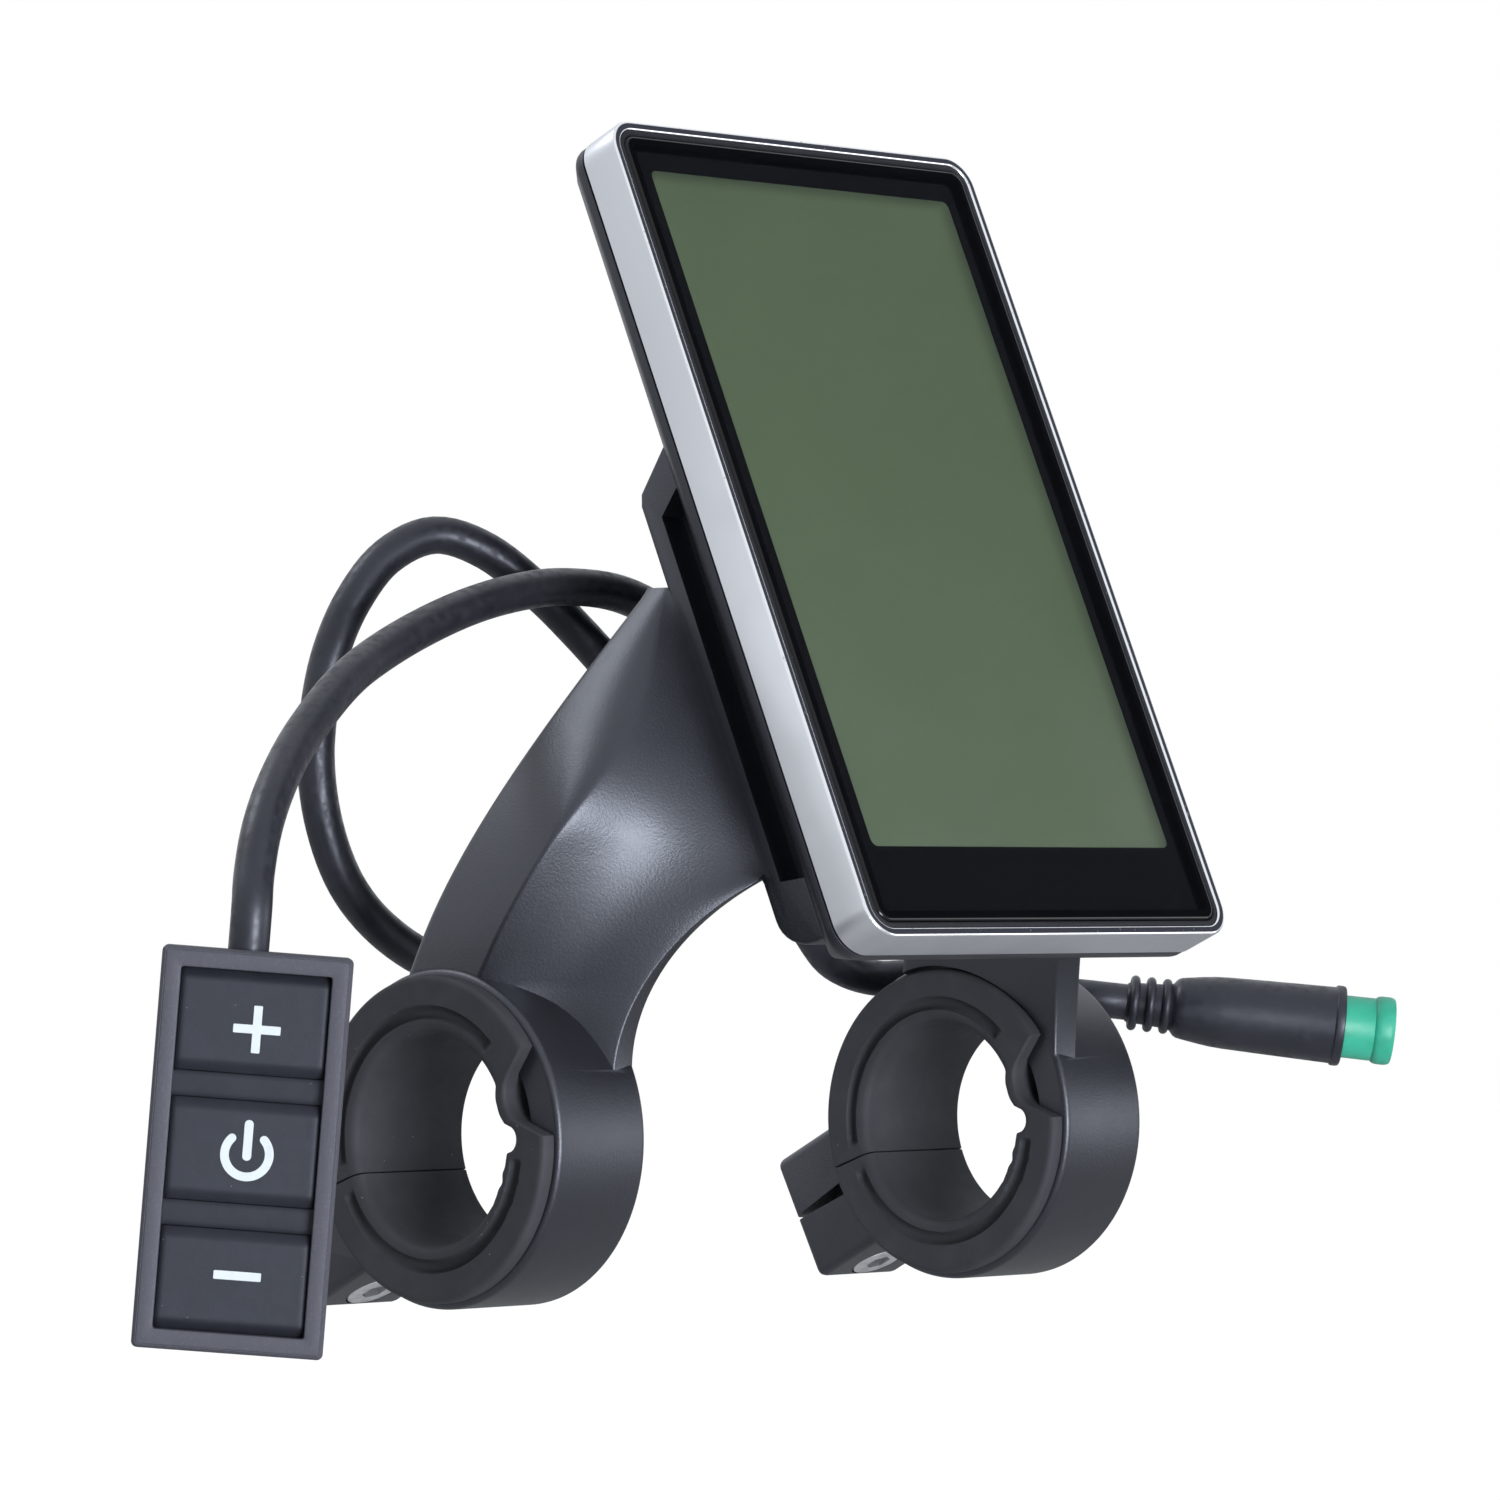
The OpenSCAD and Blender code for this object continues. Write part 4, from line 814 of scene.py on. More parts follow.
def fastener_tree():
    """One fastener at each point, each turned about its own axis by chance."""
    tree = Tree("fastener_set")
    places = tree.size("Places", "Geometry")
    screw = tree.size("Fastener", "Object")
    scale = tree.size("Scale", "Float", 1.0)
    seed = tree.size("Turn seed", "Int", 7)
    material = tree.size("Finish", "Material")
    body = tree.node("GeometryNodeObjectInfo", {"Object": screw})["Geometry"]
    # Sockets 2 and 3 are the least and the most of a plain number, which outlet 1 gives
    chance = tree.node("FunctionNodeRandomValue", {
        2: 0.0, 3: math.tau, "Seed": seed}, data_type="FLOAT")[1]
    turn = tree.node("ShaderNodeCombineXYZ", {"Z": chance})[0]
    row = tree.node("GeometryNodeInstanceOnPoints", {
        "Points": places, "Instance": body, "Rotation": turn, "Scale": scale})[0]
    return tree.close(row, material)


RING_ROW = ring_row_tree()
FASTENER_SET = fastener_tree()


def grown(tree, mesh, **sizes):
    """Plain mesh that a tree makes from a start mesh and its named sizes."""
    base = plain_object(mesh)
    step = base.modifiers.new("nodes", "NODES")
    step.node_group = tree
    for item in tree.interface.items_tree:
        key = item.name.replace(" ", "_").lower()
        if item.item_type == "SOCKET" and item.in_out == "INPUT" and key in sizes:
            step[item.identifier] = sizes[key]
    return mesh_of(settle(base))


def ribbed(profile, **rings):
    """Turned body along Z with a row of rings on it, as one mesh."""
    row = grown(RING_ROW, bpy.data.meshes.new("empty"), finish=JACKET, **rings)
    return joined(turned_solid(profile), row)


def fastener(head_r, head_h, shank_r, length, socket_r, socket_deep, rim, crossed=False):
    """Round-headed screw along -Z, its head's top at zero, with a hex or cross recess."""
    over = 1.0
    screw = plain_object(turned_solid([
        (-length, 0.6 * shank_r), (-length + 0.5 * shank_r, shank_r), (-head_h, shank_r),
        (-head_h, head_r), (-rim, head_r), (-0.3 * rim, head_r - 0.35 * rim),
        (0, head_r - rim)], 40))
    if crossed:
        wide, thin = socket_r, 0.28 * socket_r
        recess = [boxed((-wide, -thin, -socket_deep), (wide, thin, over)),
                  boxed((-thin, -wide, -socket_deep), (thin, wide, over))]
    else:
        recess = [rod(socket_r, -socket_deep, over, 6)]
    return combine(screw, recess, "DIFFERENCE")


def fastened(places, screw, material, matrix):
    """Mesh of a fastener that stands at each place in the given frame."""
    mesh = bpy.data.meshes.new("places")
    mesh.from_pydata([tuple(p) for p in places], [], [])
    made = grown(FASTENER_SET, mesh, fastener=screw, scale=1.0, turn_seed=7, finish=material)
    bpy.data.objects.remove(screw)
    return put(made, matrix)


def screw_set(node, name, places, matrix, **sizes):
    """A node's row of steel screws, each standing at its place in the given frame."""
    stand_in(name, fastened(places, fastener(**sizes), STEEL, matrix), [], node, 35)


# Plug, along Z from the end of the lead, with profiles as (height, radius)
BOOT_L, INSERT_L, INSERT_SUNK = 28.4, 6.6, 4.0
BOOT_PROFILE = [
    (0, 2.42), (0.12, 2.55), (0.5, 2.62), (4.6, 2.85), (5.7, 2.98), (6.0, 3.12),
    (6.2, 3.4), (6.5, 3.72), (6.9, 3.93), (7.6, 4.05), (9.4, 4.33), (11.3, 4.58),
    (13, 4.68), (18, 4.81), (26.9, 5.0), (27.12, 5.02), (27.2, 5.18), (27.36, 5.25),
    (28.0, 5.25), (28.28, 5.17), (BOOT_L, 4.98), (BOOT_L, 4.12), (24.5, 4.12)]
INSERT_LOW, INSERT_END = BOOT_L - INSERT_SUNK, BOOT_L + INSERT_L
INSERT_NECK, INSERT_FLOOR = INSERT_END - 2.6, INSERT_LOW + 1.6
INSERT_PROFILE = [
    (INSERT_LOW + 0.02, 4.06), (INSERT_NECK - 0.12, 4.1), (INSERT_NECK - 0.02, 4.02),
    (INSERT_NECK + 0.1, 4.2), (INSERT_NECK + 0.4, 4.38), (INSERT_NECK + 0.9, 4.45),
    (INSERT_END - 0.7, 4.44), (INSERT_END - 0.25, 4.32), (INSERT_END - 0.05, 4.12),
    (INSERT_END, 3.9), (INSERT_END, 3.42), (INSERT_END - 0.12, 3.24),
    (INSERT_END - 0.4, 3.2), (INSERT_FLOOR, 3.2)]
INSERT_KEY_LOW = (2.75, -0.6, INSERT_FLOOR)
INSERT_KEY_TOP = (3.25, 0.6, INSERT_END - 0.6)
PIN_COUNT, PIN_CIRCLE_R = 5, 1.9
PIN_PROFILE = [(0, 0.45), (5.2, 0.45), (5.55, 0.38), (5.75, 0.2), (5.8, 0.05)]


def make_plug():
    """Ribbed boot, green insert with its key, and the contact pins."""
    boot = ribbed(BOOT_PROFILE, ring_count=3, first_height=0.95, ring_step=2.1,
                  row_radius=3.02, ring_radius=0.6)
    stand_in("boot", put(boot, ON_PLUG), [JACKET], "plug_boot")
    insert = joined(turned_solid(INSERT_PROFILE), boxed(INSERT_KEY_LOW, INSERT_KEY_TOP))
    stand_in("green_socket", put(insert, ON_PLUG), [INSERT_GREEN], "plug_insert")
    circle = [(PIN_CIRCLE_R * math.cos(a), PIN_CIRCLE_R * math.sin(a), INSERT_LOW)
              for a in (math.tau * k / PIN_COUNT for k in range(PIN_COUNT))]
    pins = fastened(circle, plain_object(turned_solid(PIN_PROFILE, 20)), CONTACT, ON_PLUG)
    stand_in("pin_set", pins, [], "plug_pins", 35)


make_plug()
make_leads()


# Display head, with profiles as (inset from the outline, depth behind the face)
GLASS_GAP = LIP_W + GLASS_SEAL_W
LEDGE_W, LEDGE_TOP, LEDGE_BACK, FRAME_WALL = 1.6, 2.1, 3.1, 2.0
LEDGE = GLASS_GAP + LEDGE_W
GLASS_FLAT, HAIR = GLASS_GAP + 1.3, 0.02
FRAME_PROFILE = [
    (0.0, FRAME_T - 0.1), (0.0, 0.34), (0.07, 0.15), (0.2, 0.04), (0.38, 0.0),
    (0.95, 0.0), (1.1, 0.06), (LIP_W, 0.2), (LIP_W, LEDGE_TOP), (LEDGE, LEDGE_TOP),
    (LEDGE, LEDGE_BACK), (FRAME_WALL, LEDGE_BACK), (FRAME_WALL, FRAME_T), (0.15, FRAME_T)]
FRAME_FINISH = [0, 0, 1, 1, 1, 1, 1, 1, 0, 0, 0, 0, 0, 0]
SEAL_OUT, SEAL_IN, SEAL_TOP = LIP_W + HAIR, GLASS_GAP - HAIR, 0.16
SEAL_PROFILE = [
    (SEAL_OUT, 2.05), (SEAL_OUT, 0.32), (SEAL_OUT + 0.15, SEAL_TOP),
    (SEAL_IN - 0.15, SEAL_TOP), (SEAL_IN, 0.34), (SEAL_IN, GLASS_T + 0.05),
    (LEDGE, GLASS_T + 0.05), (LEDGE, 2.05)]
GLASS_PROFILE = [
    (GLASS_FLAT, GLASS_T), (GLASS_GAP + 0.15, GLASS_T), (GLASS_GAP, GLASS_T - 0.15),
    (GLASS_GAP, 0.3), (GLASS_GAP + 0.1, 0.14), (GLASS_GAP + 0.28, 0.03),
    (GLASS_GAP + 0.45, 0.0), (GLASS_FLAT, 0.0)]
GLASS_FINISH = [1] * 7 + [0]
CORNER_STEPS, WINDOW_STEPS, WINDOW_R = 12, 10, 1.0
PRINT_INSET, PRINT_R, PRINT_FRONT, PRINT_BACK = 0.15, 1.85, GLASS_T + 0.01, GLASS_T + 0.05
CELL_FRONT = GLASS_T + 0.08
CELL_ROWS = ((0.5, 3.5), (0.8, 3.4), (0.8, CELL_FRONT + 0.1), (0.6, CELL_FRONT))
# The strain reliefs' profile, as (height, radius)
GLAND_PROFILE = [
    (-1.4, 2.95), (-0.02, 2.95), (0.0, 4.1), (0.12, 4.28), (1.3, 4.28), (1.52, 4.15),
    (1.6, 3.9), (1.65, 3.1), (2.0, 2.95), (12.1, 2.72), (GLAND_REACH, 2.5)]
SHELL_SCREW_X, SHELL_SCREW_UP = DISPLAY_W / 2 - 7.5, DISPLAY_H / 2 - 4.0
TRAY_HEAD_T = 1.8


def head_rings(profile):
    return frame_rings(profile, DISPLAY_W, DISPLAY_H, CORNER_R, CORNER_STEPS)


def window_outline(grown_by=0.0):
    return rounded_outline(WINDOW_W + grown_by, WINDOW_H + grown_by, WINDOW_R, WINDOW_STEPS,
                           (0, WINDOW_RISE))


def make_display_head():
    """Frame, seal, glass, printed border, panel and shell."""
    band = skin(head_rings(FRAME_PROFILE), around=True, finish=FRAME_FINISH)
    stand_in("alloy_frame", put(band, ON_FACE), [ALLOY, POLISH], "bezel_frame")
    seal = skin(head_rings(SEAL_PROFILE), around=True)
    stand_in("glass_seal", put(seal, ON_FACE), [SEAL_RUBBER], "glass_gasket", 50)
    glass = skin(head_rings(GLASS_PROFILE), finish=GLASS_FINISH)
    stand_in("front_glass", put(glass, ON_FACE), [GLASS, EDGE_INK], "cover_glass", 30)

    inset = 2 * GLASS_GAP + 2 * PRINT_INSET
    outside = rounded_outline(DISPLAY_W - inset, DISPLAY_H - inset, PRINT_R, WINDOW_STEPS)
    window = window_outline()
    border = skin([stand(outside, PRINT_FRONT), stand(window, PRINT_FRONT),
                   stand(window, PRINT_BACK), stand(outside, PRINT_BACK)], around=True)
    stand_in("printed_border", put(border, ON_FACE), [INK], crisp=30)
    cell = skin([stand(window_outline(wider), depth) for wider, depth in CELL_ROWS])
    stand_in("crystal_cell", put(cell, ON_FACE), [PANEL], "lcd_panel", 30)
    eased_copy("back_shell", "shell", 0.35, 3)


def make_glands():
    """Ribbed strain reliefs where the two leads leave the head."""
    for name, node, (x, up) in zip(
            ("remote_gland", "main_gland"), ("remote_lead_gland", "main_lead_gland"),
            GLAND_PLACES):
        gland = ribbed(GLAND_PROFILE, ring_count=4, first_height=2.68, ring_step=2.16,
                       row_radius=2.9, ring_radius=0.5)
        place = ON_FACE @ Matrix.Translation((x, up, -SHELL_BACK)) @ FLIPPED
        stand_in(name, put(gland, place), [JACKET], node)


def make_head_screws():
    """Small crossed screws of the shell, and hex screws that hold the tray."""
    behind = ON_FACE @ FLIPPED
    screw_set(
        "shell_screws", "case_screws",
        [(sx * SHELL_SCREW_X, sy * SHELL_SCREW_UP, SHELL_BACK)
         for sx in (-1, 1) for sy in (-1, 1)], behind,
        head_r=1.38, head_h=1.2, shank_r=0.8, length=8.2, socket_r=0.9, socket_deep=0.6,
        rim=0.2, crossed=True)
    screw_set(
        "tray_screws", "mount_screws",
        [(sx * TRAY_SCREW_X, -up, TRAY_BACK)
         for sx in (-1, 1) for up in (TRAY_SCREW_LOW, TRAY_SCREW_TOP)], behind,
        head_r=2.78, head_h=TRAY_HEAD_T, shank_r=1.5, length=TRAY_T + 1, socket_r=1.35,
        socket_deep=1.2, rim=0.35)


make_display_head()
make_glands()
make_head_screws()


# Bracket
ARM_ROOT_Z, ARCH_FOOT_Z, ARM_TOP_Z = 7.0, 8.4, 66.0
ARM_FOOT_X = RING_SPAN / 2 - RING_W / 2 + 0.1
ARM_SIDE_X = RING_SPAN / 2 + RING_W / 2 - 0.8
ARM_INNER_R, ARM_INNER_MIN, ARCH_R = 28.4, 22.0, 28.4
ARM_EDGE_W, ARM_EDGE_TOP_W, ARM_LEAN_FOOT, ARM_LEAN_TOP = 3.6, 2.0, 0.4, 2.0
ARM_SIDE_DEPTH, ARM_SIDE_FROM_Z, ARM_SIDE_GROWTH, ARM_SIDE_SHARE = 12.6, 20.0, 0.11, 0.66
ARM_FLARE_Z = 22.0
ARM_FRONT_FOOT, ARM_FRONT_TOP, ARM_FRONT_BOW = (7.1, 18.2), (-10.5, 64.8), 2.0
ARM_HOLLOW, ARM_HOLLOW_FROM_Z, ARM_HOLLOW_TO_Z = 0.75, 16, 52
ARM_EMBED, ARM_SUNK = 0.8, 0.3
ARM_FILLETS, ARM_EDGE_SOFT, ARM_FACE_SOFT = (0.5, 1.6, 1.2, 0.5, 0.45), 7, 9
RIDGE_EASE, RIDGE_SIDE_LEFT, RIDGE_FACE_SHARE = 0.5, 1.5, 0.36
RIDGE_SOFT_FROM_Z, RIDGE_SOFT_TO_Z, RIDGE_STEPS = 34, 58, 9
ARCH_FOOT_Y = math.sqrt(RING_R ** 2 - ARCH_FOOT_Z ** 2) - ARM_SUNK
TRAY_EDGE, TRAY_STEP, TRAY_SLOPE_UP, TRAY_SHOULDER_UP, HEEL_UP = 0.5, 0.6, 4.0, 5.4, 5.1
RING_CORE_R, RING_ROOT_EDGE, RING_EDGE, FLANGE_SEAT_R = 12.0, 0.1, 0.9, 19.9
EAR_ANGLE, EAR_REACH, EAR_TOP, EAR_LOW, EAR_ROOT, EAR_EDGE = -27.3, 29.9, 8.4, -8.4, 14.0, 1.1
SLIT_W, SLIT_TIP_W, SLIT_RISE = 2.3, 0.45, 0.25
BOLT_AT, BOLT_D, BOLT_HEAD_D, BOLT_HEAD_T, BOLT_SUNK = 25.4, 4.0, 7.0, 4.0, 3.9
NUT_W, NUT_T, NUT_COVER, NUT_ROOM, BOLT_ROOM = 7.3, 3.2, 1.6, 0.15, 0.12
GROOVE_DEEP, GROOVE_SLOPE_TOP, GROOVE_SLOPE_LOW = 3.9, 2.6, 1.3
GROOVE_HALF_W, GROOVE_IN, GROOVE_OVER = 2.0, 1.5, 0.5
GLAND_HOLE_R, TRAY_HEAD_R, OVER = 4.8, 2.9, 1.0
# The face's frame, in millimetres
TO_FACE = Matrix.Scale(1 / MM, 4) @ ON_FACE


def quarter(run):
    """Falls from 1 to 0 as a quarter of a wave."""
    return math.cos(math.pi / 2 * run)


def arc_drop(radius, rise):
    """How far an arc has fallen away from its foot at a rise above it."""
    return 0 if rise <= 0 else radius if rise >= radius else radius - math.sqrt(
        radius ** 2 - rise ** 2)


def tray_line(z):
    """Where the leaning tray's back lies at a height, as a place along Y."""
    lean = math.radians(LEAN)
    return z * math.tan(lean) - (FACE_OUT - TRAY_BACK + ARM_EMBED) / math.cos(lean)


def arm_rear(z):
    """Rear of the arm: up the arch, then along the tray."""
    arch = -ARCH_FOOT_Y - arc_drop(ARCH_R, z - ARCH_FOOT_Z)
    return tray_line(z) if z - ARCH_FOOT_Z > ARCH_R else max(tray_line(z), arch)


def arm_inner(z):
    """Inner side of the arm, as a place along X."""
    return max(ARM_INNER_MIN, ARM_FOOT_X - arc_drop(ARM_INNER_R, z - ARCH_FOOT_Z))


def arm_outer(z):
    """Outer side of the arm, flaring from the tray's width to the ring's."""
    half = TRAY_W / 2
    return half + (ARM_SIDE_X - half) * quarter(share(z, ARM_FLARE_Z, ARM_TOP_Z))


def arm_front(z):
    """Front of the arm: a straight run that bows back in its middle."""
    run = share(z, ARM_FRONT_FOOT[1], ARM_FRONT_TOP[1])
    straight = ARM_FRONT_FOOT[0] + (ARM_FRONT_TOP[0] - ARM_FRONT_FOOT[0]) * run
    return straight - ARM_FRONT_BOW * math.sin(math.pi * run)


def arm_edge(z):
    """Outer edge of the strip that runs up the arch, across the bar and along it."""
    run = share(z, ARCH_FOOT_Z, ARCH_FOOT_Z + ARCH_R)
    width = ARM_EDGE_W + (ARM_EDGE_TOP_W - ARM_EDGE_W) * run
    lean = ARM_LEAN_FOOT + (ARM_LEAN_TOP - ARM_LEAN_FOOT) * math.sin(math.pi / 2 * run)
    return Vector((max(TRAY_W / 2 - ARM_SUNK, arm_inner(z) + width),
                   max(tray_line(z), arm_rear(z) - lean)))


def softened_edge(z, reach):
    """The strip's outer edge, averaged over some height."""
    if reach < 0.05:
        return arm_edge(z)
    total, weights = Vector((0, 0)), 0.0
    for k in range(-10, 11):
        weight = math.exp(-0.5 * (k / 4) ** 2)
        total += weight * arm_edge(max(ARM_ROOT_Z, z + k / 4 * reach))
        weights += weight
    return total / weights


def soft_min(a, b, blend=4.0):
    """The lesser of two numbers, with the change between them rounded off."""
    gap = max(blend - abs(a - b), 0) / blend
    return min(a, b) - gap * gap * blend / 4


def arm_slice(z, face_steps=18):
    """Level slice of the right arm: flat sides, and the hollow face towards the rider."""
    fade = quarter(share(z, ARM_HOLLOW_FROM_Z, ARM_HOLLOW_TO_Z))
    front, rear, edge = arm_front(z), arm_rear(z), arm_edge(z)
    depth = soft_min(ARM_SIDE_DEPTH + ARM_SIDE_GROWTH * (z - ARM_SIDE_FROM_Z),
                     ARM_SIDE_SHARE * (front - rear))
    ridge = Vector((arm_outer(z), front - depth))
    run = softened_edge(z, ARM_EDGE_SOFT) - ridge
    inward = Vector((run.y, -run.x)).normalized()
    corners = [
        Vector((arm_inner(z), rear)), Vector((arm_inner(z), front)),
        Vector((arm_outer(z), front)), ridge, edge,
    ]
    steps = 5
    rounded = filleted(corners, ARM_FILLETS, steps)
    flat_sides, strip = rounded[:3 * (steps + 1)], rounded[4 * (steps + 1):]
    soft = share(z, RIDGE_SOFT_FROM_Z, RIDGE_SOFT_TO_Z)
    soft *= soft * (3 - 2 * soft)
    side_cut = RIDGE_EASE + (max(RIDGE_EASE, depth - RIDGE_SIDE_LEFT) - RIDGE_EASE) * soft
    face_cut = RIDGE_EASE + (RIDGE_FACE_SHARE * run.length - RIDGE_EASE) * soft
    round_ridge = bowed(ridge + Vector((0, side_cut)), ridge,
                        ridge + run.normalized() * face_cut, RIDGE_STEPS)
    face = []
    start, end = round_ridge[-1], strip[0]
    for k in range(1, face_steps):
        s = k / face_steps
        bend = softened_edge(z, ARM_FACE_SOFT * (1 - s) ** 0.7) - edge
        hollow = ARM_HOLLOW * fade * math.sin(math.pi * s) ** 2
        face.append(start.lerp(end, s) + s * bend + hollow * inward)
    return [Vector((p.x, p.y, z)) for p in flat_sides + round_ridge + face + strip]


def arm_mesh(side, steps=84):
    """The arm of one side, as a stack of level slices."""
    mesh = skin([
        arm_slice(ARM_ROOT_Z + (ARM_TOP_Z - ARM_ROOT_Z) * i / steps)
        for i in range(steps + 1)
    ])
    return put(mesh, Matrix.Diagonal((side, 1, 1, 1)))


def on_ear(side):
    """Frame of one ring's ears, outwards along Y, in millimetres."""
    return (Matrix.Translation((side * RING_SPAN / 2, 0, 0))
            @ Matrix.Rotation(math.radians(EAR_ANGLE), 4, "X"))


def on_tray(outline, half, shift=0.0):
    """Outline of (up the face, depth) drawn across the tray, in millimetres."""
    mesh = across([(up, -depth) for up, depth in outline], half)
    return put(mesh, TO_FACE @ Matrix.Translation((shift, 0, 0)))


def tray_block():
    """The tray, as an outline of (up the face, depth) drawn across it."""
    low, top = TRAY_BOTTOM, TRAY_TOP
    heel = [
        (low + HEEL_UP * (1 - math.cos(a)),
         SHELL_BACK + TRAY_STEP + (TRAY_T - TRAY_STEP) * math.sin(a))
        for a in (math.pi / 2 * k / 9 for k in range(9, -1, -1))]
    outline = [(top, SHELL_BACK), (top - TRAY_SLOPE_UP, TRAY_BACK - TRAY_STEP),
               (top - TRAY_SHOULDER_UP, TRAY_BACK), *heel, (low, SHELL_BACK)]
    return ease(plain_object(on_tray(outline, TRAY_W / 2)), TRAY_EDGE)


def ring_solids(side):
    """One arm, its clamp ring and the block of its ears."""
    middle, half = side * RING_SPAN / 2, RING_W / 2
    ring = filleted(
        [(middle - half, RING_CORE_R), (middle + half, RING_CORE_R),
         (middle + half, RING_R), (middle - half, RING_R)],
        (RING_ROOT_EDGE, RING_ROOT_EDGE, RING_EDGE, RING_EDGE), 5)
    ear = put(across([(EAR_ROOT, EAR_LOW), (EAR_REACH, EAR_LOW), (EAR_REACH, EAR_TOP),
                      (EAR_ROOT, EAR_TOP)], half), on_ear(side))
    return [arm_mesh(side), skin(lathe(ring, 160), around=True),
            mesh_of(ease(plain_object(ear), EAR_EDGE, 4))]


def ring_cuts(side):
    """Bore, seats of the sleeve's flanges, slit, and room for the bolt and its nut."""
    middle = side * RING_SPAN / 2
    bore_r, tip = BORE_D / 2, EAR_REACH + 0.5
    root_low, root_top = SLIT_RISE - SLIT_W / 2, SLIT_RISE + SLIT_W / 2
    slit = [(0, root_low), (bore_r, root_low), (tip, (SLIT_RISE - SLIT_TIP_W) / 2),
            (tip, (SLIT_RISE + SLIT_TIP_W) / 2), (bore_r, root_top), (0, root_top)]
    at_bolt = on_ear(side) @ Matrix.Translation((0, BOLT_AT, 0))
    nut_top = EAR_TOP - NUT_COVER
    nut_low = nut_top - NUT_T - NUT_ROOM
    return [
        drum(bore_r, middle - RING_W, middle + RING_W),
        drum(FLANGE_SEAT_R, middle - RING_W, middle - RING_W / 2),
        drum(FLANGE_SEAT_R, middle + RING_W / 2, middle + RING_W),
        put(across(slit, RING_W), on_ear(side)),
        put(rod(BOLT_D / 2 + BOLT_ROOM, EAR_LOW - OVER, nut_top), at_bolt),
        put(rod(BOLT_HEAD_D / 2 + BOLT_ROOM, EAR_LOW - OVER, EAR_LOW + BOLT_SUNK), at_bolt),
        put(boxed((0, -NUT_W / 2, nut_low), (RING_W, NUT_W / 2, nut_top)), at_bolt),
    ]


def tray_cuts():
    """Grooves along the tray's sides, holes for the glands and recesses for the screws."""
    groove = [(GROOVE_TOP + GROOVE_SLOPE_TOP, SHELL_BACK - GROOVE_OVER),
              (GROOVE_TOP, SHELL_BACK + GROOVE_DEEP), (GROOVE_LOW, SHELL_BACK + GROOVE_DEEP),
              (GROOVE_LOW - GROOVE_SLOPE_LOW, SHELL_BACK - GROOVE_OVER)]
    cuts = [on_tray(groove, GROOVE_HALF_W, side * (TRAY_W / 2 - GROOVE_IN))
            for side in (-1, 1)]
    cuts += [put(rod(GLAND_HOLE_R, -TRAY_BACK - OVER, -SHELL_BACK + OVER, 64, place), TO_FACE)
             for place in GLAND_PLACES]
    cuts += [put(rod(TRAY_HEAD_R, -TRAY_BACK - OVER, -TRAY_BACK + TRAY_HEAD_T, 48, (x, up)),
                 TO_FACE)
             for x in (-TRAY_SCREW_X, TRAY_SCREW_X) for up in (TRAY_SCREW_LOW, TRAY_SCREW_TOP)]
    return cuts


def make_bracket():
    """Tray, arms, rings and ears as one moulding."""
    bracket = combine(tray_block(), ring_solids(-1) + ring_solids(1), "UNION")
    combine(bracket, ring_cuts(-1) + ring_cuts(1) + tray_cuts(), "DIFFERENCE")
    stand_in("bracket_moulding", put(mesh_of(bracket), TO_METRES), [NYLON],
             "bracket", 28)


def make_clamp_bolts():
    """Socket head bolts, seen from below, one in each ring's ears."""
    top = -(EAR_LOW + BOLT_SUNK - BOLT_HEAD_T)
    bolts = []
    for side in (-1, 1):
        bolt = fastener(head_r=BOLT_HEAD_D / 2, head_h=BOLT_HEAD_T, shank_r=BOLT_D / 2,
                        length=EAR_TOP - NUT_COVER + top, socket_r=1.7, socket_deep=2.0,
                        rim=0.35)
        bolts.append(fastened([(0, -BOLT_AT, top)], bolt, STEEL,
                              TO_METRES @ on_ear(side) @ FLIPPED))
    stand_in("ear_bolts", joined(*bolts), [STEEL], "clamp_bolts", 35)


make_bracket()
make_clamp_bolts()


# Sleeves, round the bar's axis, with angles in degrees
SLEEVE_LIP_T, SLEEVE_FLANGE_R, SLEEVE_FAR_R = 1.85, 19.55, 18.25
SLEEVE_SPLIT, SLEEVE_SPLIT_HALF, SLEEVE_STEPS = -20.0, 0.45, 280
VEE_ANGLE, VEE_R = 178.5, 1.6
HINGE_ANGLE, HINGE_DEEP = 160.5, 0.6
RIPPLE_ANGLE, RIPPLES = 199, ((0.1, 29), (0.06, 47))
FINE_ANGLES, FINE_STEP = (145.0, 177.0, VEE_ANGLE), 0.3
POCKET_CIRCLES = ((160.5, 17.5, 3.6), (146, 20, 0.6), (176, 20, 0.6))
ARC_STARTS, ARC_SWEEP, ARC_FADE = (-12.5, 188.5), 144, 1.5
ARC_R, ARC_HALF_W, ARC_DEEP = 15.1, 0.85, 1.15
BODY_ROOM, BODY_MIN, FLANGE_MIN = 0.05, 1.0, 1.05
ROUND_IN, ROUND_IN_SHARE, RIM, RIM_SHARE = 1.3, 0.45, 0.7, 0.3
# Stands in for no limit at all
FAR = 99.0


def circle_points(angle, away, radius, count=72):
    """Points of a circle whose middle lies away from the axis at an angle."""
    a = math.radians(angle)
    return [
        (away * math.cos(a) + radius * math.cos(2 * math.pi * k / count),
         away * math.sin(a) + radius * math.sin(2 * math.pi * k / count))
        for k in range(count)
    ]


def convex_outline(points):
    """Corners of the tightest outline round a set of points."""
    points = sorted(points)
    halves = []
    for row in (points, points[::-1]):
        half = []
        for p in row:
            while len(half) > 1 and (
                (half[-1][0] - half[-2][0]) * (p[1] - half[-2][1])
                - (half[-1][1] - half[-2][1]) * (p[0] - half[-2][0]) <= 0
            ):
                half.pop()
            half.append(p)
        halves += half[:-1]
    return halves


POCKET = convex_outline([p for circle in POCKET_CIRCLES for p in circle_points(*circle)])


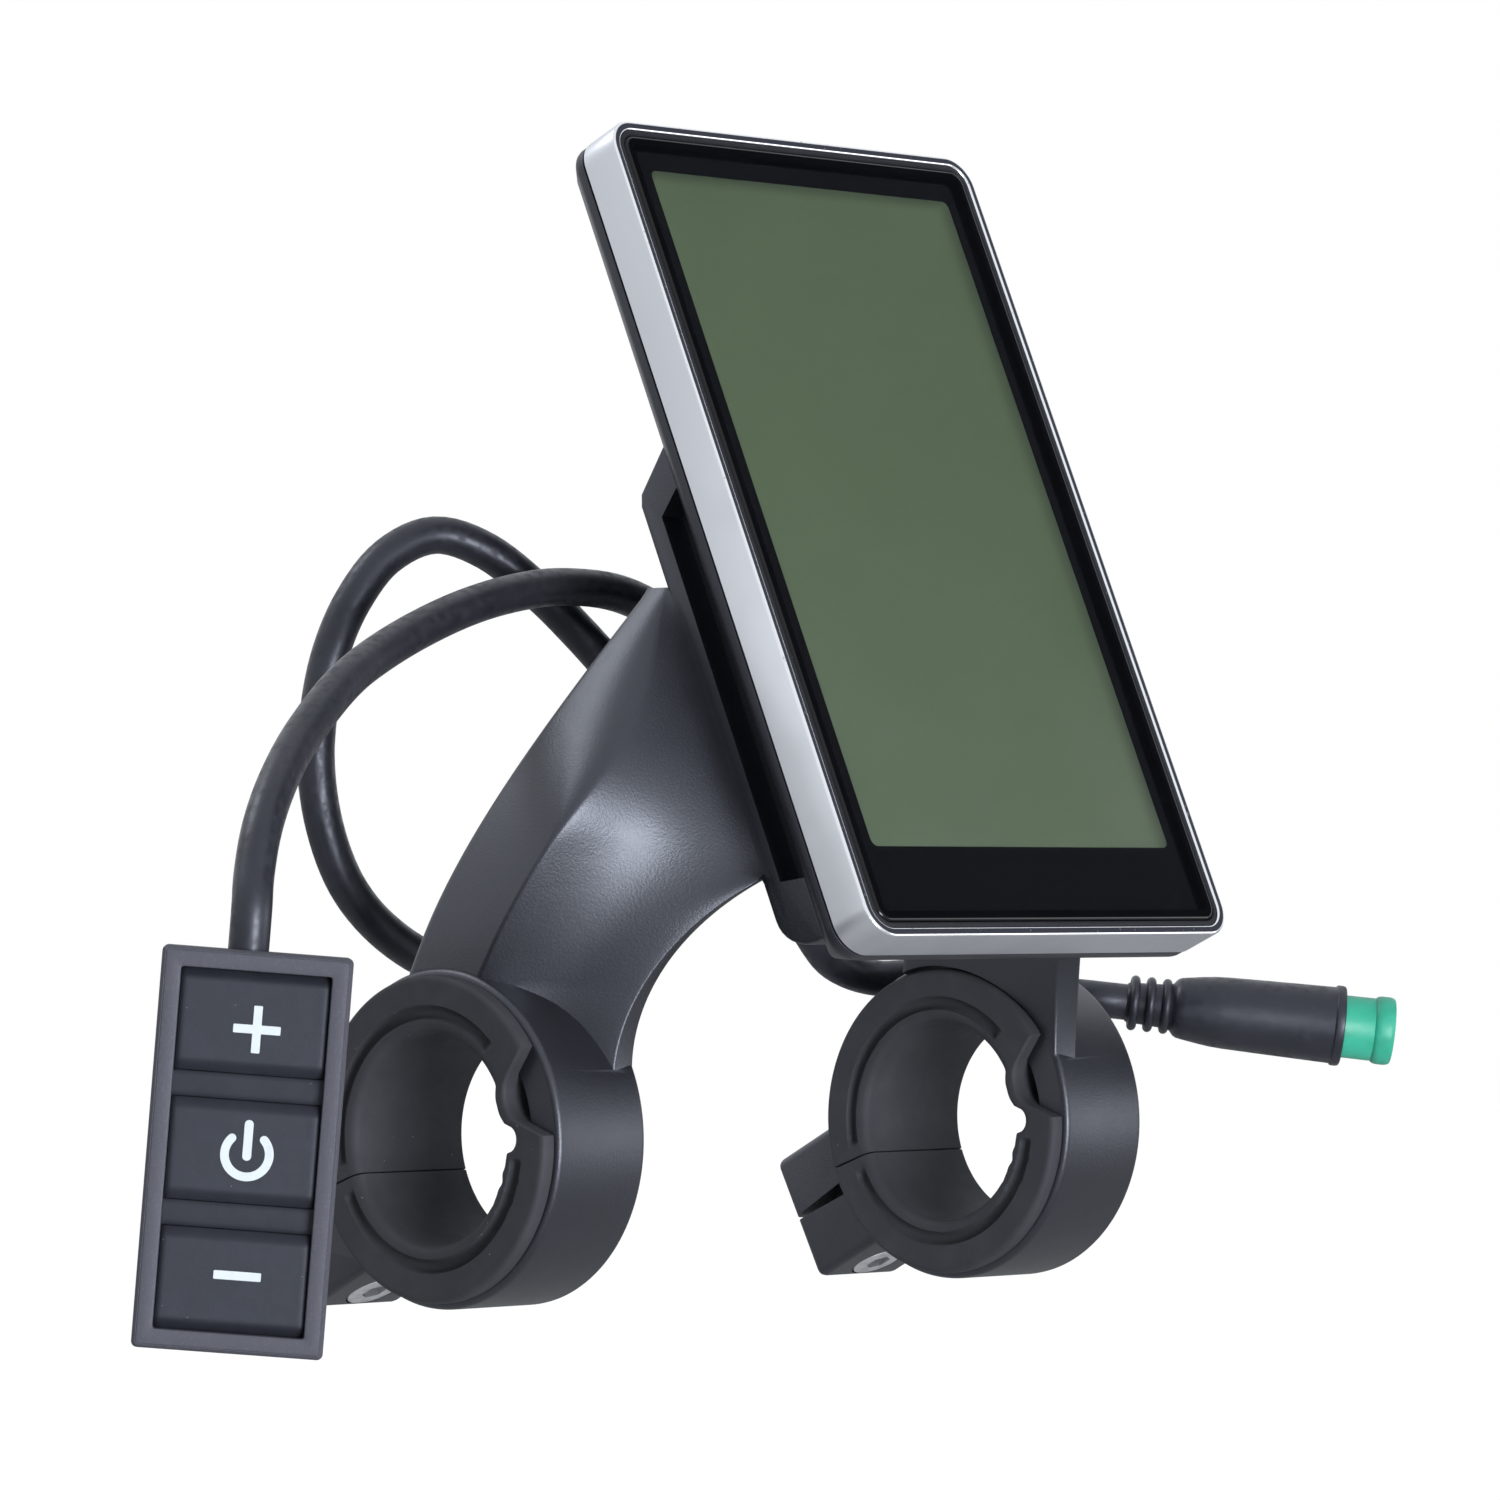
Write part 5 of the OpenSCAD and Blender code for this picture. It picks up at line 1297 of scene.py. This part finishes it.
def pocket_floor(angle):
    """Distance from the bar's axis at which the pocket begins, at an angle round it."""
    a = math.radians(angle)
    u, v = math.cos(a), math.sin(a)
    nearest = FAR
    for (x0, y0), (x1, y1) in zip(POCKET, POCKET[1:] + POCKET[:1]):
        side0, side1 = v * x0 - u * y0, v * x1 - u * y1
        if side0 * side1 <= 0 and side0 != side1:
            t = side0 / (side0 - side1)
            nearest = min(nearest, u * (x0 + t * (x1 - x0)) + v * (y0 + t * (y1 - y0)))
    return nearest if nearest > 0 else FAR


def bump_at(angle, centre, flat, slope):
    """1 on a stretch of angles, falling smoothly to 0 beside it."""
    gap = abs((angle - centre + 180) % 360 - 180)
    run = share(gap, flat, flat + slope)
    return 1 - run * run * (3 - 2 * run)


def arc_groove(radius, angle):
    """Depth of the two arc grooves in the near flange."""
    inside = 0.0
    for start in ARC_STARTS:
        along = (angle - start + 10) % 360 - 10
        inside = max(inside, share(along, -ARC_FADE, ARC_FADE)
                     * (1 - share(along, ARC_SWEEP - ARC_FADE, ARC_SWEEP + ARC_FADE)))
    across_it = max(0.0, 1 - ((radius - ARC_R) / ARC_HALF_W) ** 2)
    return ARC_DEEP * inside * across_it ** 0.45


def sleeve_inner(angle):
    """Inner radius: thinned at the hinge, rippled at one spot, and cut by the vee."""
    hinge = bump_at(angle, HINGE_ANGLE, 3.0, 10.0)
    ripple = bump_at(angle, RIPPLE_ANGLE, 12, 8)
    inner = BAR_R - HINGE_DEEP * hinge + ripple * sum(
        height * math.sin(math.radians(angle * count)) for height, count in RIPPLES)
    turn = math.radians(angle - VEE_ANGLE)
    ahead, aside = BAR_R * math.cos(turn), BAR_R * math.sin(turn)
    if abs(aside) < VEE_R and ahead > 0:
        inner = max(inner, ahead + math.sqrt(VEE_R ** 2 - aside ** 2))
    return inner


def sleeve_profile(angle, seat, far_seat):
    """Closed profile at an angle, as (along the bar, radius), from the bore round."""
    near, far = seat - SLEEVE_LIP_T, far_seat + SLEEVE_LIP_T
    inner, floor = sleeve_inner(angle), pocket_floor(angle)
    body = max(min(BORE_D / 2 - BODY_ROOM, floor), inner + BODY_MIN)
    flange = max(min(SLEEVE_FLANGE_R, floor), inner + FLANGE_MIN)
    far_flange = min(flange, SLEEVE_FAR_R)
    round_in = min(ROUND_IN, ROUND_IN_SHARE * (flange - inner))
    rim = min(RIM, RIM_SHARE * (flange - inner))
    profile = [(far - 0.5, inner), (near + round_in, inner)]
    for a in (math.pi / 2 * k / 4 for k in range(1, 5)):
        profile.append((near + round_in * (1 - math.sin(a)),
                        inner + round_in * (1 - math.cos(a))))
    steps = 22
    start, end = inner + round_in, flange - rim
    for radius in (start + (end - start) * i / steps for i in range(1, steps)):
        profile.append((near + arc_groove(radius, angle), radius))
    for a in (math.pi / 2 * k / 3 for k in range(4)):
        profile.append((near + rim * (1 - math.cos(a)), end + rim * math.sin(a)))
    return profile + [
        (seat - 0.05, flange), (seat - 0.04, body), (far_seat + 0.04, body),
        (far_seat + 0.05, far_flange), (far - rim, far_flange),
        (far - 0.3 * rim, far_flange - 0.3 * rim), (far, far_flange - rim),
        (far, inner + 0.5), (far - 0.15, inner + 0.15)]


def make_sleeve(side, name, node):
    """Rubber sleeve, as a grid of rings round the bar that follows its cut-outs."""
    seat = side * RING_SPAN / 2 - RING_W / 2
    far_seat = side * RING_SPAN / 2 + RING_W / 2
    first, turn = SLEEVE_SPLIT + SLEEVE_SPLIT_HALF, 360 - 2 * SLEEVE_SPLIT_HALF
    angles = {round(first + turn * k / SLEEVE_STEPS, 3) for k in range(SLEEVE_STEPS + 1)}
    for centre in FINE_ANGLES:
        angles |= {round(centre + FINE_STEP * k, 3) for k in range(-10, 11)}
    rings = []
    for angle in sorted(angles):
        a = math.radians(angle)
        rings.append([Vector((x, r * math.cos(a), r * math.sin(a)))
                      for x, r in sleeve_profile(angle, seat, far_seat)])
    stand_in(name, put(skin(rings), TO_METRES), [SLEEVE_RUBBER], node)


make_sleeve(-1, "left_sleeve", "left_shim")
make_sleeve(1, "right_sleeve", "right_shim")


# Remote, with depths behind its face
KEYS = (("plus", 1), ("power", 0), ("minus", -1))
BAR_W, KEY_TOP = 3.0, 0.6
KEY_W = REMOTE_W - 2 * REMOTE_BORDER
KEY_H = (REMOTE_H - 2 * REMOTE_BORDER - 2 * BAR_W) / 3
KEY_STEP = KEY_H + BAR_W
FRAME_SIDE_T, SHEET_DEPTH, SHEET_T = 5.75, 3.4, 0.8
REMOTE_PROFILE = [
    (0.0, FRAME_SIDE_T), (0.0, 0.8), (0.06, 0.6), (0.38, 0.16), (0.46, 0.17), (0.54, 0.03),
    (0.7, 0.0), (REMOTE_BORDER - 0.3, 0.0), (REMOTE_BORDER - 0.08, 0.07),
    (REMOTE_BORDER, 0.25), (REMOTE_BORDER, SHEET_DEPTH), (REMOTE_WALL, SHEET_DEPTH),
    (REMOTE_WALL, FRAME_SIDE_T)]
# Section of a bar as (across, height), from the sheet up over its rounded top
BAR_SECTION = [
    (-1.46, -3.6), (-1.46, -1.7), (-1.32, -1.6), (-0.8, -1.54), (0, -1.5), (0.8, -1.54),
    (1.32, -1.6), (1.46, -1.7), (1.46, -3.6)]
KEY_SIDE_ROOM, KEY_END_ROOM, KEY_PAD_T, BAR_END_ROOM = 0.08, 0.04, 1.8, 0.03
SLOPE_DROP, SLOPE_W, SIDE_DROP, SIDE_W = 0.95, 1.3, 0.3, 0.6
STEM_R, STEM_L, STEM_FROM = 2.0, 3.7, 1.7
SIGN_SPAN, SIGN_STROKE, SIGN_STEP, SIGN_X = 5.35, 0.98, 13.9, 0.5
SIGN_FRONT, SIGN_BACK, SIGN_R = KEY_TOP - 0.03, KEY_TOP + 0.02, 0.12
POWER_R, POWER_DROP, POWER_GAP, POWER_STEPS = 2.52, -0.2, 46.0, 48
POWER_BAR_W, POWER_BAR_H, POWER_BAR_RISE, POWER_BAR_R = 1.0, 4.6, 1.4, 0.49
COVER_SCREW_UP, BAND_SCREW_UP, BAND_SCREW_PROUD = 6.95, 15.9, 2.0


def make_remote_shell():
    """Painted frame round the keys, with the back and the band behind it."""
    rings = frame_rings(REMOTE_PROFILE, REMOTE_W, REMOTE_H, 0.7, 6)
    stand_in("remote_bezel", put(skin(rings, around=True), ON_REMOTE), [REMOTE_PAINT],
             "remote_frame", 25)
    eased_copy("remote_housing", "remote_back", 0.3)
    eased_copy("remote_clamp", "remote_band", 0.4)


def make_keypad_bars():
    """Rubber sheet behind the keys, with the two bars that fill the space between them."""
    x, y = REMOTE_W / 2 - REMOTE_WALL, REMOTE_H / 2 - REMOTE_WALL
    sheet = boxed((-x, -y, -SHEET_DEPTH - SHEET_T), (x, y, -SHEET_DEPTH))
    bars = [across([(row * KEY_STEP + up, z) for up, z in BAR_SECTION], KEY_W / 2 - BAR_END_ROOM)
            for row in (-0.5, 0.5)]
    # Painted shade: the bars and sheet take the darker copy of the key rubber
    stand_in("keypad_bars", put(joined(sheet, *bars), ON_REMOTE), [SHADED_BAR_RUBBER],
             "keypad_sheet", 30)


def key_pad(columns=40, rows=44):
    """A key pad whose top slopes down towards the bars beside it."""
    half_w, half_h = KEY_W / 2 - KEY_SIDE_ROOM, KEY_H / 2 - KEY_END_ROOM
    work = bmesh.new()
    grid = []
    for j in range(rows + 1):
        line = []
        for i in range(columns + 1):
            x = half_w * math.sin(math.pi / 2 * (2 * i / columns - 1))
            y = half_h * math.sin(math.pi / 2 * (2 * j / rows - 1))
            fall = SLOPE_DROP * (1 - share(half_h - abs(y), 0, SLOPE_W)) ** 1.35
            fall += SIDE_DROP * (1 - share(half_w - abs(x), 0, SIDE_W)) ** 2
            line.append(work.verts.new((x, y, -KEY_TOP - fall)))
        grid.append(line)
    for low, high in zip(grid, grid[1:]):
        for i in range(columns):
            work.faces.new((low[i], low[i + 1], high[i + 1], high[i]))
    rim = grid[0] + [line[-1] for line in grid[1:-1]] + grid[-1][::-1] + [
        line[0] for line in grid[-2:0:-1]]
    foot = [work.verts.new((v.co.x, v.co.y, -KEY_TOP - KEY_PAD_T)) for v in rim]
    for k in range(len(rim)):
        n = (k + 1) % len(rim)
        work.faces.new((rim[k], rim[n], foot[n], foot[k]))
    work.faces.new(foot)
    bmesh.ops.recalc_face_normals(work, faces=work.faces)
    mesh = bpy.data.meshes.new("key")
    work.to_mesh(mesh)
    work.free()
    return mesh


def make_key(body, row):
    """A key's pad with the stem that reaches its snap dome."""
    stem = rod(STEM_R, -KEY_TOP - STEM_L, -KEY_TOP - STEM_FROM)
    place = ON_REMOTE @ Matrix.Translation((0, row * KEY_STEP, 0))
    node = "key_" + body
    stand_in(node + "_pad", put(joined(key_pad(), stem), place), [KEY_RUBBER], node,
             body=body)


def plus_sign():
    arm, half = SIGN_SPAN / 2, SIGN_STROKE / 2
    corners = [(half, half), (half, arm), (-half, arm), (-half, half), (-arm, half),
               (-arm, -half), (-half, -half), (-half, -arm), (half, -arm), (half, -half),
               (arm, -half), (arm, half)]
    return filleted(corners, (0.05, SIGN_R, SIGN_R) * 4, 3)


def power_arc():
    """Open ring with round ends, its gap at the top."""
    half = SIGN_STROKE / 2

    def at(angle, radius):
        return Vector((math.cos(angle), math.sin(angle))) * radius

    def on_ring(degrees, radius):
        return at(math.radians(degrees), radius) + Vector((0, POWER_DROP))

    def round_end(degrees, turn):
        return [
            on_ring(degrees, POWER_R)
            + at(math.radians(degrees) + turn + math.pi * k / 8, half)
            for k in range(1, 8)]

    sweep = [90 + POWER_GAP + (360 - 2 * POWER_GAP) * k / POWER_STEPS
             for k in range(POWER_STEPS + 1)]
    outer = [on_ring(degrees, POWER_R + half) for degrees in sweep]
    inner = [on_ring(degrees, POWER_R - half) for degrees in reversed(sweep)]
    return outer + round_end(90 - POWER_GAP, 0) + inner + round_end(90 + POWER_GAP, math.pi)


def make_symbols():
    """Plus, power and minus signs, as thin raised print on the keys."""
    signs = {
        "plus": [plus_sign()],
        "power": [power_arc(), rounded_outline(
            POWER_BAR_W, POWER_BAR_H, POWER_BAR_R, 6, (0, POWER_BAR_RISE))],
        "minus": [rounded_outline(SIGN_SPAN, SIGN_STROKE, SIGN_R, 3)],
    }
    for body, row in KEYS:
        sign = joined(*[skin([stand(outline, SIGN_BACK), stand(outline, SIGN_FRONT)])
                        for outline in signs[body]])
        place = ON_REMOTE @ Matrix.Translation((SIGN_X, row * SIGN_STEP, 0))
        stand_in(body + "_mark", put(sign, place), [PRINT], crisp=None, body=body)


def make_remote_screws():
    """Crossed screws that close the remote, and hex screws of its band."""
    behind = ON_REMOTE @ FLIPPED
    screw_set(
        "remote_screws", "cover_screws",
        [(0, side * COVER_SCREW_UP, REMOTE_BACK) for side in (-1, 1)], behind,
        head_r=1.48, head_h=1.0, shank_r=0.8, length=6.4, socket_r=0.95, socket_deep=0.5,
        rim=0.2, crossed=True)
    reach = REMOTE_BACK + SADDLE_T + REMOTE_BAR_D / 2 + BAND_T + BAND_SCREW_PROUD
    screw_set(
        "remote_clamp_screws", "band_screws",
        [(0, side * BAND_SCREW_UP, reach) for side in (-1, 1)], behind,
        head_r=2.68, head_h=2.0, shank_r=1.5, length=9.2, socket_r=1.15, socket_deep=1.33,
        rim=0.4)


make_remote_shell()
make_keypad_bars()
make_remote_screws()
for body, row in KEYS:
    make_key(body, row)
make_symbols()


# Finishes of the CAD nodes
for node, material in {
    "cover_glass": INK, "glass_gasket": SEAL_RUBBER, "bezel_frame": ALLOY,
    "lcd_panel": PANEL, "light_guide": DIFFUSER, "contact_strip": STRIP,
    "main_board": BOARD, "board_parts": CHIPS, "board_screws": STEEL,
    "shell_seal": SEAL_RUBBER, "back_shell": SHELL_BLACK, "shell_screws": STEEL,
    "remote_lead_gland": JACKET, "main_lead_gland": JACKET, "bracket": NYLON,
    "tray_screws": STEEL, "left_shim": SLEEVE_RUBBER, "right_shim": SLEEVE_RUBBER,
    "clamp_bolts": STEEL, "clamp_nuts": STEEL, "plug_boot": JACKET,
    "plug_insert": INSERT_GREEN, "plug_pins": CONTACT, "remote_frame": REMOTE_PAINT,
    "remote_housing": SHELL_BLACK, "keypad_sheet": KEY_RUBBER, "key_plus": KEY_RUBBER,
    "key_power": KEY_RUBBER, "key_minus": KEY_RUBBER, "remote_board": BOARD,
    "dome_switches": STEEL, "lead_grip": JACKET, "remote_screws": STEEL,
    "remote_clamp": SHELL_BLACK, "remote_clamp_screws": STEEL,
}.items():
    dress(node, material)


# Studio
COOL, WHITE = (0.93, 0.96, 1.0, 1.0), (1, 1, 1, 1)
ROOM_LIGHT = 0.31
CARD, CARD_AIM, CARD_EDGE = (0.05, 0.054, 0.07, 1), Vector((0.727, -0.445, 0.523)), (0.9, 0.965)
FLOOR_SIZE, FLOOR_Z, FLOOR_GLOW, FLOOR_SEEN = 8, -0.16, 1.14, 0.86


def light_world():
    """Even cool room light, seen as white, with a black card where the glass looks."""
    world = bpy.data.worlds.new("studio")
    scene.world = world
    world.use_nodes = True
    tree = world.node_tree
    tree.nodes.clear()

    def add(kind, feeds=(), **settings):
        return wired(tree, "ShaderNode" + kind, feeds, **settings)

    rays = add("LightPath")
    room = add("Background", {"Color": COOL, "Strength": ROOM_LIGHT})[0]
    seen = add("Background", {"Color": WHITE, "Strength": 1.0})[0]
    facing = add("VectorMath", {
        0: add("TexCoord")["Generated"], 1: CARD_AIM.normalized()},
        operation="DOT_PRODUCT")["Value"]
    card = add("MapRange", {
        "Value": facing, "From Min": CARD_EDGE[0], "From Max": CARD_EDGE[1]},
        interpolation_type="SMOOTHSTEP")[0]
    shade = add("Mix", {"Factor": card, "A": COOL, "B": CARD}, data_type="RGBA")["Result"]
    mirrored = add("Background", {"Color": shade, "Strength": 1.0})[0]
    bounced = add("Math", {0: rays["Diffuse Depth"], 1: rays["Glossy Depth"]})[0]
    fresh = add("Math", {0: bounced, 1: 0.5}, operation="LESS_THAN")[0]
    straight = add("Math", {
        0: rays["Is Transmission Ray"], 1: fresh}, operation="MULTIPLY")[0]
    through = add("Math", {0: rays["Is Camera Ray"], 1: straight}, operation="MAXIMUM")[0]
    mirror = add("MixShader", {0: rays["Is Glossy Ray"], 1: room, 2: mirrored})[0]
    add("OutputWorld", {0: add("MixShader", {0: through, 1: mirror, 2: seen})[0]})


def softbox(name, place, aim, size, power):
    """A rectangular lamp at a place, turned towards another."""
    data = bpy.data.lights.new(name, "AREA")
    data.shape = "RECTANGLE"
    data.size, data.size_y = size
    data.energy = power
    data.color = COOL[:3]
    lamp = bpy.data.objects.new(name, data)
    scene.collection.objects.link(lamp)
    lamp.location = place
    lamp.rotation_mode = "QUATERNION"
    lamp.rotation_quaternion = (Vector(aim) - Vector(place)).to_track_quat("-Z", "Y")


def lay_floor():
    """Pale paper that the camera sees near white, with the object's shadow kept."""
    bpy.ops.mesh.primitive_plane_add(size=FLOOR_SIZE, location=(0, 0, FLOOR_Z))
    floor = bpy.context.object
    floor.name = "studio_floor"
    f = Finish("floor_paper", (0.82, 0.82, 0.82, 1), 0.9)
    f.roughen(f.noise(30, 2), 0.05)
    glow = f.node("Emission", {"Strength": FLOOR_GLOW})[0]
    seen = f.math("MULTIPLY", f.node("LightPath")["Is Camera Ray"], FLOOR_SEEN)
    f.link(f.node("MixShader", {0: seen, 1: f.shader.outputs[0], 2: glow})[0], f.surface)
    floor.data.materials.append(f.material)


light_world()
softbox("key_softbox", (-0.3, -0.92, -0.05), (-0.04, -0.02, 0.04), (0.42, 0.36), 11)
softbox("side_softbox", (0.72, -0.72, -0.06), (0, 0, 0.02), (0.5, 0.4), 1.6)
softbox("top_softbox", (-0.3, 0.55, 0.8), (-0.02, 0, 0.05), (0.36, 0.36), 1.8)
lay_floor()
scene.view_settings.view_transform = "Standard"
